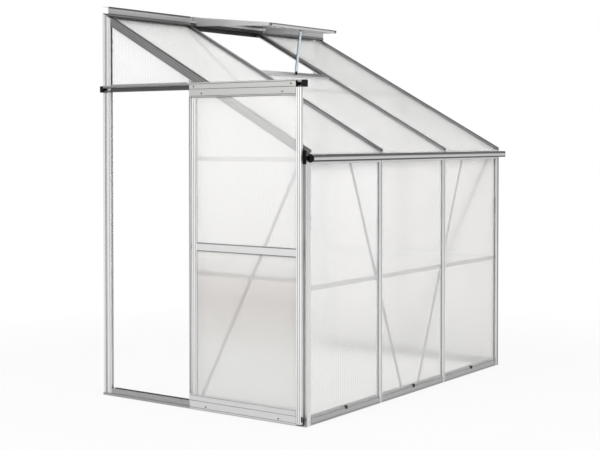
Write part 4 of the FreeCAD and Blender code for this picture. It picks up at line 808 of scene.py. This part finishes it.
def height_of(tree, place):
    """The third number of a place."""
    return add_node(tree, "ShaderNodeSeparateXYZ", Vector=place).outputs["Z"]


def mixed(tree, share, first, second):
    """A mix of two shaders: the first where the share is 0, the second where it is 1."""
    node = add_node(tree, "ShaderNodeMixShader")
    worked_out(tree, node, (share, first.outputs[0], second.outputs[0]))
    return node


def new_material(name):
    """A material, its tree and its Principled shader."""
    material = bpy.data.materials.new(name)
    material.use_nodes = True
    tree = material.node_tree
    return material, tree, tree.nodes["Principled BSDF"]


def show(tree, shader):
    """Joins a shader to the material's surface."""
    feed(tree, tree.nodes["Material Output"].inputs["Surface"], shader.outputs[0])


# %% [markdown]
# Extruded aluminium is never an even grey: the die leaves fine lines along the length. The lines
# are a noise stretched along the bar. The effect is a node group with named inputs, built once,
# so each metal takes it with its own direction and strength.

# %% Die lines along an extrusion
FLOAT, VECTOR = "NodeSocketFloat", "NodeSocketVector"


def new_group(name, inputs, outputs):
    """A node group with sockets: an input is a label, a kind and a first value or None."""
    group = bpy.data.node_groups.new(name, "ShaderNodeTree")
    for label, kind, value in inputs:
        socket = group.interface.new_socket(label, in_out="INPUT", socket_type=kind)
        if value is not None:
            socket.default_value = value
    for label, kind in outputs:
        group.interface.new_socket(label, in_out="OUTPUT", socket_type=kind)
    return group, group.nodes.new("NodeGroupInput"), group.nodes.new("NodeGroupOutput")


def put_out(group, label, noise, leave, strength):
    """Output = (noise - 1/2) * strength, so that it swings about 0."""
    centred = math_node(group, "SUBTRACT", noise.outputs[0], 0.5)
    feed(group, leave.inputs[label], math_node(group, "MULTIPLY", centred, strength))


die_lines, enter, leave = new_group(
    "Die lines",
    [("Place", VECTOR, None), ("Stretch", VECTOR, (1, 1, 1)), ("Strength", FLOAT, 0.5)],
    [("Lines", FLOAT)],
)
stretched = vector_node(die_lines, "MULTIPLY", enter.outputs["Place"], enter.outputs["Stretch"])
fine = add_node(
    die_lines, "ShaderNodeTexNoise", Vector=stretched, Scale=1.0, Detail=3.0, Roughness=0.6
)
put_out(die_lines, "Lines", fine, leave, enter.outputs["Strength"])
print("effect:", die_lines.name)

# %% [markdown]
# Handling leaves cloudy marks in the shine of metal, sheet and plastic alike. A soft noise of
# a few clouds per metre draws them. It is a second group, because three kinds of material use it.

# %% Cloudy handling marks
handling, enter, leave = new_group(
    "Handling marks",
    [("Place", VECTOR, None), ("Size", FLOAT, 9.0), ("Strength", FLOAT, 0.5)],
    [("Marks", FLOAT)],
)
cloud = add_node(
    handling, "ShaderNodeTexNoise", Vector=enter.outputs["Place"], Scale=enter.outputs["Size"],
    Detail=5.0, Roughness=0.65, Distortion=0.6,
)
put_out(handling, "Marks", cloud, leave, enter.outputs["Strength"])


def effect(tree, group, place, **values):
    """Puts a node group into a material and gives back its output."""
    node = add_node(tree, "ShaderNodeGroup", {"node_tree": group}, Place=place, **values)
    return node.outputs[0]


print("effect:", handling.name)

# %% [markdown]
# One function writes every metal. The two effects shift the colour a little, the roughness more,
# and a bump gives the die lines their depth. Lines run along the bar, so the place is stretched:
# hundreds of lines per metre across it, and hardly any change along it. The mark of the mesh
# paints shade into hollows and onto shaded faces. A solid has no marks, so where a face of it lies
# in the shade, steps in height paint the shade instead.

# %% Metals
def metal(name, colour, roughness, along, lines=1.0, marks=1.0, shade_depth=0.78, steps=()):
    """A step is a height, the width of its edge, and the shares kept below and above it. The steps
    and the mesh's mark both darken the colour as painted shade.
    """
    material, tree, shader = new_material(name)
    place = object_place(tree)
    stretch = [1.5 if share else 900.0 for share in along]
    line = effect(tree, die_lines, place, Stretch=stretch, Strength=lines)
    mark = effect(tree, handling, place, Size=7.0, Strength=marks)
    both = math_node(tree, "ADD", line, mark)
    dark = [channel * 0.86 for channel in colour]
    light = [min(channel * 1.09, 1.0) for channel in colour]
    shade = math_node(tree, "MULTIPLY_ADD", both, 0.22, 0.5)
    # Painted shade: where the mesh's mark is 1, the colour is darkened by the given depth.
    shade_mark = add_node(tree, "ShaderNodeAttribute", {"attribute_name": "shade_mark"}).outputs["Fac"]
    kept = math_node(tree, "MULTIPLY_ADD", shade_mark, -shade_depth, 1.0)
    for level, soft, (below, above) in steps:
        step = ranged(tree, height_of(tree, place), level, level + soft, below, above)
        kept = math_node(tree, "MULTIPLY", kept, step)
    tones = colour_ramp(tree, shade, [(0.3, dark), (0.7, light)])
    feed(tree, shader.inputs["Base Color"], dimmed(tree, tones, kept))
    rough = math_node(tree, "MULTIPLY_ADD", both, 0.16, roughness)
    feed(tree, shader.inputs["Roughness"], rough)
    bump = add_node(tree, "ShaderNodeBump", Strength=0.12, Distance=0.0003, Height=line)
    feed(tree, shader.inputs["Normal"], bump.outputs[0])
    shader.inputs["Metallic"].default_value = 1.0
    return material


ALONG_X, ALONG_Y, ALONG_Z = (1, 0, 0), (0, 1, 0), (0, 0, 1)
ALONG_SLOPE, NO_WAY = (0, 1, 1), (0, 0, 0)
# Painted shade: the ridge is darker below 1.916 m, and dark bands run along the lower and upper
# edges of the vent's free rail and of the door's middle rail.
ridge_step = [(1.916, 0.003, (0.12, 1.0))]
free_rail_shade_steps = [(1.8725, 0.002, (0.15, 1.0)), (1.885, 0.002, (1.0, 0.3))]
rail_low_z, rail_high_z = (corner[2] for corner in low_high("door_mid_rail"))
mid_rail_shade_steps = [
    (rail_low_z + 0.004, 0.001, (0.3, 1.0)), (rail_high_z - 0.005, 0.001, (1.0, 0.3)),
]
# Painted shade and reflection: the aluminium is one metal, and its darker copies stand in for
# light. The roof bars and gable rafters carry a painted dark reflection of the ceiling; the feet,
# the hinge, the head over the door and what lies behind a sheet carry painted shade.
metals = {
    "post": metal("Aluminium of the posts", (0.84, 0.845, 0.84), 0.34, ALONG_Z),
    "front": metal("Aluminium of the front bars", (0.86, 0.87, 0.88), 0.34, ALONG_Z),
    "gutter": metal("Aluminium of the gutter", (0.8, 0.805, 0.8), 0.32, ALONG_X),
    "ridge": metal("Aluminium of the ridge", (0.8, 0.805, 0.795), 0.34, ALONG_X),
    "ridge shade": metal(
        "Shaded aluminium of the ridge", (0.8, 0.805, 0.795), 0.34, ALONG_X, steps=ridge_step
    ),
    "free rail": metal(
        "Aluminium of the vent's free edge with painted shade lines", (0.8, 0.805, 0.8), 0.34, ALONG_X, steps=free_rail_shade_steps
    ),
    "hinge": metal("Shaded aluminium of the hinge", (0.2, 0.205, 0.2), 0.34, ALONG_X),
    "plate": metal("Aluminium of the door's head", (0.56, 0.56, 0.545), 0.5, ALONG_Y),
    "door": metal("Aluminium of the door", (0.73, 0.735, 0.73), 0.36, ALONG_Y),
    "stile": metal("Aluminium of the door's stiles", (0.93, 0.935, 0.93), 0.36, ALONG_Z),
    "door rail": metal(
        "Aluminium of the door's middle rail", (0.75, 0.755, 0.75), 0.36, ALONG_Y,
        steps=mid_rail_shade_steps,
    ),
    "vent": metal("Aluminium of the vent", (0.66, 0.665, 0.66), 0.34, ALONG_X),
    "inner": metal("Aluminium of the front's rail", (0.72, 0.72, 0.72), 0.38, ALONG_X),
    "inner gable": metal("Aluminium of the gables' rails", (0.93, 0.93, 0.93), 0.5, ALONG_Y),
    "head": metal("Aluminium over the door with painted shade", (0.42, 0.42, 0.42), 0.38, ALONG_Y),
    "base": metal("Aluminium along the front with painted shade", (0.5, 0.505, 0.505), 0.36, ALONG_X),
    "base gable": metal("Aluminium along the gables with painted shade", (0.4, 0.405, 0.4), 0.36, ALONG_Y),
    "roof": metal(
        "Grey aluminium of the gable rafters", (0.33, 0.335, 0.33), 0.34, ALONG_SLOPE
    ),
    "rafter": metal("Aluminium of the roof bars with painted dark reflection", (0.5, 0.505, 0.5), 0.34, ALONG_SLOPE),
    "track": metal("Aluminium of the track", (0.62, 0.625, 0.62), 0.34, ALONG_Y, shade_depth=0.92),
    "strip": metal("Rolled aluminium strip", (0.36, 0.365, 0.37), 0.42, ALONG_SLOPE, lines=0.6),
    "plated": metal("Zinc plated steel", (0.3, 0.305, 0.31), 0.3, NO_WAY, lines=0.5, marks=1.4),
    "screw": metal("Dark plated screws", (0.12, 0.12, 0.12), 0.3, NO_WAY, lines=0.5, marks=1.4),
    "wire": metal("Spring steel wire", (0.3, 0.31, 0.32), 0.25, ALONG_Z, lines=0.3),
    "stay": metal(
        "Blue zinc plated strip", (0.68, 0.8, 0.86), 0.28, ALONG_Z, lines=0.5, shade_depth=0.97
    ),
}
print("metals:", len(metals))

# %% [markdown]
# Twin-wall sheet has two skins and a rib between them every centimetre. The ribs show as fine
# upright lines. Real ribs would be hundreds of thin walls in each sheet, so a wave across the
# sheet stands for them: a cosine with one turn for each rib, raised to a power to make it narrow.

# %% Ribs of the sheet
ribs, enter, leave = new_group(
    "Sheet ribs", [("Place", VECTOR, None), ("Across", VECTOR, (1, 0, 0))], [("Rib", FLOAT)]
)
rib_pitch = 0.0105
across = vector_node(
    ribs, "DOT_PRODUCT", enter.outputs["Place"], enter.outputs["Across"], output="Value"
)
turns = math_node(ribs, "MULTIPLY", across, 2 * math.pi / rib_pitch)
wave = math_node(ribs, "MULTIPLY_ADD", math_node(ribs, "COSINE", turns), 0.5, 0.5)
feed(ribs, leave.inputs["Rib"], math_node(ribs, "POWER", wave, 4.0))
print("ribs every", rib_pitch * 1000, "mm")

# %% [markdown]
# The sheet is clear plastic, but its two skins blur what is behind, the more the further it is.
# Slightly rough glass does the same, and a share of plain scattering makes it milky. A low
# refractive index keeps it from bending what is behind, as a thin pane doesn't. Lamps would cast
# the sheet's shadow as if it were solid, so for their rays a Transparent shader lets light by.

# %% Twin-wall sheet
RAMP_TOP = 2.0


def clear_sheet(name, across, colours_and_shade, roughness=0.2, veil=0.12):
    """The sheet's colour with painted shade follows the height: (metres above ground, colour) from
    the lowest upwards.
    """
    material, tree, shader = new_material(name)
    shader.inputs["Transmission Weight"].default_value = 1.0 - veil
    shader.inputs["IOR"].default_value = 1.1
    place = object_place(tree)
    mark = effect(tree, handling, place, Size=2.2, Strength=1.0)
    rib = effect(tree, ribs, place, Across=across)
    rough = math_node(tree, "MULTIPLY_ADD", mark, 0.08, roughness)
    rough = math_node(tree, "MULTIPLY_ADD", rib, 0.04, rough)
    feed(tree, shader.inputs["Roughness"], rough)
    height = math_node(tree, "MULTIPLY_ADD", mark, 0.1, height_of(tree, place))
    colour_and_shade = colour_ramp(
        tree, math_node(tree, "DIVIDE", height, RAMP_TOP),
        [(level / RAMP_TOP, colour) for level, colour in colours_and_shade],
    )
    fainter = math_node(tree, "MULTIPLY_ADD", rib, -0.012, 1.0)
    feed(tree, shader.inputs["Base Color"], dimmed(tree, colour_and_shade, fainter))
    to_lamps = add_node(tree, "ShaderNodeBsdfTransparent", Color=(0.9, 0.9, 0.9, 1))
    path = add_node(tree, "ShaderNodeLightPath")
    show(tree, mixed(tree, path.outputs["Is Shadow Ray"], shader, to_lamps))
    return material


def two_heights(foot, top):
    """Two tones of the sheet's colour with painted shade: near the ground and just under the eave.
    """
    return [(0.1, foot), (1.15, top)]


FRONT, GABLE = (1, 0, 0), (0, 1, 0)
# Painted shade: these tones make most sheets darker near the ground than under the eave, the sheet
# over the door darker all over, and the door's foot darker in a band from 0.3 to 0.76 m.
milky, grey_low, grey_high = (0.957, 0.954, 0.951), (0.929, 0.927, 0.921), (0.958, 0.954, 0.954)
over_door, beside_door = (0.925, 0.925, 0.926), (0.952, 0.95, 0.946)
door_foot = [
    (0.1, (0.925, 0.925, 0.921)), (0.3, (0.918, 0.916, 0.908)), (0.55, (0.85, 0.834, 0.822)),
    (0.68, (0.892, 0.884, 0.878)), (0.76, (0.948, 0.943, 0.936)),
]
sheet_tones = {
    "roof": clear_sheet("Twin-wall sheet of the roof", FRONT, two_heights(milky, milky)),
    "front near": clear_sheet("Twin-wall sheet, near", FRONT, two_heights(grey_low, grey_high)),
    "front": clear_sheet(
        "Twin-wall sheet, far", FRONT, two_heights((0.932, 0.929, 0.923), (0.944, 0.94, 0.934))
    ),
    "gable": clear_sheet(
        "Twin-wall sheet of the gables", GABLE, two_heights((0.92, 0.917, 0.91), beside_door)
    ),
    "over": clear_sheet("Twin-wall sheet over the door", GABLE, two_heights(over_door, over_door)),
    "door": clear_sheet("Twin-wall sheet of the door's foot", GABLE, door_foot, roughness=0.32),
}
print("sheets:", len(sheet_tones), "tones")

# %% [markdown]
# The plastics are moulded: the mould leaves a fine grain in the surface, and a little shine that
# varies. The grain is a bump from a very fine noise, because it is far too small to be modelled.

# %% Moulded plastics
def plastic(name, colour, roughness, shine):
    """A colour from 0.8 to 1.25 times the given one, with cloudy roughness and a fine bump."""
    material, tree, shader = new_material(name)
    shader.inputs["Specular IOR Level"].default_value = shine
    place = object_place(tree)
    mark = effect(tree, handling, place, Size=60.0, Strength=1.0)
    dark, light = ([channel * share for channel in colour] for share in (0.8, 1.25))
    tones = colour_ramp(tree, math_node(tree, "ADD", mark, 0.5), [(0.0, dark), (1.0, light)])
    feed(tree, shader.inputs["Base Color"], tones)
    feed(tree, shader.inputs["Roughness"], math_node(tree, "MULTIPLY_ADD", mark, 0.2, roughness))
    grain = add_node(tree, "ShaderNodeTexNoise", Vector=place, Scale=2400.0, Detail=2.0)
    bump = add_node(
        tree, "ShaderNodeBump", Strength=0.2, Distance=0.0001, Height=grain.outputs[0]
    )
    feed(tree, shader.inputs["Normal"], bump.outputs[0])
    return material


black_plastic = plastic("Black moulded plastic", (0.006, 0.006, 0.007), 0.5, 0.15)
pale_plastic = plastic("Pale moulded plastic", (0.72, 0.72, 0.7), 0.4, 0.5)
print("plastics:", black_plastic.name, "and", pale_plastic.name)

# %% [markdown]
# Every solid and every new piece gets its finish by where it is and the way that it runs. The
# roof bars, the feet and what lies behind a sheet get darker copies of the aluminium than the bars
# that one looks at: painted dark reflection on the roof bars, and painted shade on the rest. The
# table has one line for each finish, so a change of finish is a change of one word.

# %% Give the pieces their finishes
finishes = {
    "post":
        "wall_post_near wall_post_far door_jamb far_gable_bar corner_post_near corner_post_far",
    "front": "front_bar_near front_bar_far",
    "gutter": "gutter eave_beam vent_sill",
    "ridge shade": "ridge_rail",
    "free rail": "vent_free_rail",
    "plate": "door_header",
    "door": "door_kick_plate",
    "stile": "door_stiles",
    "door rail": "door_mid_rail",
    "vent": "vent_side_rails",
    "hinge": "vent_hinge_rail",
    "inner": "front_mid_rail",
    "inner gable": "gable_rails",
    "head": "door_head",
    "base": "base_rail_front",
    "base gable": "base_rail_far_gable door_sill",
    "roof": "gable_rafter_near gable_rafter_far",
    "rafter": "rafter_near rafter_far",
    "track": "door_track",
    "strip": "front_braces gable_braces roof_braces roof_purlin",
    "stay": "vent_stay",
    "plated": "door_axles frame_bolts",
    "screw": "door_screws",
    "wire": "glazing_clips",
}


def paint(thing, material):
    """The material becomes the only one of the object's mesh."""
    thing.data.materials.clear()
    thing.data.materials.append(material)


def finish(names, material):
    """Paints the nodes and the new pieces that stand for them."""
    for name in names.split():
        paint(nodes[name], material)
        piece = bpy.data.objects.get(name + "_drawn")
        if piece:
            paint(piece, material)


for way, names in finishes.items():
    finish(names, metals[way])
for strip, way in ((ridge_trim, "ridge"), (post_trim, "post")):
    paint(strip, metals[way])
black_parts = "gutter_outlet end_caps door_plastics vent_stay_foot sheet_foot_clips"
finish(black_parts, black_plastic)
finish("door_roller_front door_roller_wall", pale_plastic)
print("finishes:", len(finishes), "metals and 2 plastics")

# %% [markdown]
# The sheets stay the imported solids, since a flat sheet needs no new shape. Their names say where
# they hang, and three of them take another tone than their neighbours: painted shade, darker or
# lighter as more or less of the far frame stands behind them.

# %% Give the sheets their tones
other_tones = {
    "front_sheet_near": "front near", "door_sheet_upper": "gable", "gable_sheet_over_door": "over",
}
sheets = [name for name in nodes if "sheet" in name and name != "sheet_foot_clips"]
for name in sheets:
    tone = "roof" if name.startswith(("roof", "vent")) else name.split("_")[0]
    paint(nodes[name], sheet_tones[other_tones.get(name, tone)])
print(len(sheets), "sheets are clear")

# %% [markdown]
# The world gives even light from all round, as a white room does. The camera and clear sheet see
# it as white. Shiny metal mirrors a studio that is darker above the walls, brighter again
# straight overhead, greyer on one side and dark at the camera's end. That gives the bars their
# stripes, without any more light on the object.

# %% World
world = bpy.data.worlds.new("Studio")
bpy.context.scene.world = world
world.use_nodes = True
tree = world.node_tree
tree.nodes.clear()
path = add_node(tree, "ShaderNodeLightPath")
direction = add_node(tree, "ShaderNodeTexCoord").outputs["Generated"]
upwards = height_of(tree, direction)
ceiling = ranged(tree, upwards, 0.02, 0.42, 1.0, 0.2)
overhead = ranged(tree, upwards, 0.6, 0.95, 0.0, 0.6)


def wall_of_studio(way, start, end, darkest):
    """Brightness falls from 1 to darkest as the direction turns towards the given way."""
    turn = vector_node(tree, "DOT_PRODUCT", direction, way, output="Value")
    return ranged(tree, turn, start, end, 1.0, darkest)


right_side = wall_of_studio((0.815, -0.578, 0), 0.1, 0.95, 0.7)
camera_end = wall_of_studio((-0.815, -0.578, 0), 0.8, 1.0, 0.4)
mirrored_light = math_node(tree, "ADD", ceiling, overhead)
for wall in (right_side, camera_end):
    mirrored_light = math_node(tree, "MULTIPLY", mirrored_light, wall)
even = add_node(tree, "ShaderNodeBackground", Color=(0.985, 0.99, 1.0, 1), Strength=0.62)
white = add_node(tree, "ShaderNodeBackground", Color=(1, 1, 1, 1), Strength=1.0)
studio = add_node(tree, "ShaderNodeBackground", Color=(1, 1, 1, 1), Strength=mirrored_light)
eye, glass = path.outputs["Is Camera Ray"], path.outputs["Is Transmission Ray"]
seen = math_node(tree, "ADD", eye, glass, clamp=True)
with_glossy = mixed(tree, path.outputs["Is Glossy Ray"], even, studio)
with_white = mixed(tree, seen, with_glossy, white)
out = add_node(tree, "ShaderNodeOutputWorld")
feed(tree, out.inputs["Surface"], with_white.outputs[0])
print("world of", len(tree.nodes), "nodes")

# %% [markdown]
# The lamps are large and soft, as in a photo studio: a key from the front right and a weaker fill
# from the left. A small lamp would draw hard shadows of the bars on the floor.

# %% Lamps
def lamp(name, place, target, size, power):
    """A rectangular lamp that shines along the line from its place to its target."""
    data = bpy.data.lights.new(name, "AREA")
    data.shape = "RECTANGLE"
    data.size, data.size_y = size
    data.energy = power
    made = bpy.data.objects.new(name, data)
    bpy.context.scene.collection.objects.link(made)
    made.location = place
    made.rotation_euler = (Vector(target) - Vector(place)).to_track_quat("-Z", "Y").to_euler()


lamp("Key", (-3.0, -6.0, 5.0), (0, 0, 0.9), (4.0, 3.0), 190)
lamp("Fill", (-6.5, 1.5, 3.2), (0, 0, 0.9), (3.0, 3.0), 90)
print("lamps:", len(bpy.data.lights))

# %% [markdown]
# The floor is a wide disc: a polar grid whose radius grows from the middle. It is white paper that
# keeps the soft shadow and fades into the white background before its rim. The camera sees more
# of its own white than a clear sheet does, so the floor inside looks a little greyer.

# %% Floor
radius = np.concatenate([[0.01], np.linspace(0.5, 14, 24)])[:, None]
angle = np.linspace(0, 2 * np.pi, 72, endpoint=False)
under_feet = -0.0005
disc = np.stack([
    radius * np.cos(angle), radius * np.sin(angle), np.full((len(radius), len(angle)), under_feet),
], axis=-1)
floor = surface("floor", disc, wrap_across=True)
floor.data.flip_normals()
paper, tree, shader = new_material("White paper")
shader.inputs["Base Color"].default_value = (0.93, 0.93, 0.93, 1)
shader.inputs["Roughness"].default_value = 0.9
shader.inputs["Specular IOR Level"].default_value = 0.1
path = add_node(tree, "ShaderNodeLightPath")
glass, gloss = path.outputs["Is Transmission Ray"], path.outputs["Is Glossy Ray"]
through = math_node(tree, "ADD", glass, gloss, clamp=True)
far = vector_node(tree, "LENGTH", object_place(tree), output="Value")
fade = ranged(tree, far, 1.6, 3.2, 0.0, 1.0)
glow = add_node(tree, "ShaderNodeEmission", Color=(1, 1, 1, 1), Strength=1.0)
near_camera = math_node(tree, "MULTIPLY_ADD", fade, 0.14, 0.86)
near_through = math_node(tree, "MULTIPLY_ADD", fade, 0.6, 0.4)
share = math_node(tree, "MULTIPLY", near_camera, path.outputs["Is Camera Ray"])
share = math_node(tree, "MULTIPLY_ADD", near_through, through, share)
show(tree, mixed(tree, share, shader, glow))
paint(floor, paper)
print("floor of", len(floor.data.polygons), "faces")

# %% [markdown]
# Light passes up to a dozen sheets on its way, so it is given more bounces than the usual dozen:
# with too few, the far sheets turn black. The Standard view shows a colour as it is written.

# %% Picture settings
scene = bpy.context.scene
scene.view_settings.view_transform = "Standard"
scene.cycles.max_bounces = 32
scene.cycles.transmission_bounces = 32
scene.cycles.transparent_max_bounces = 48
bpy.context.view_layer.update()
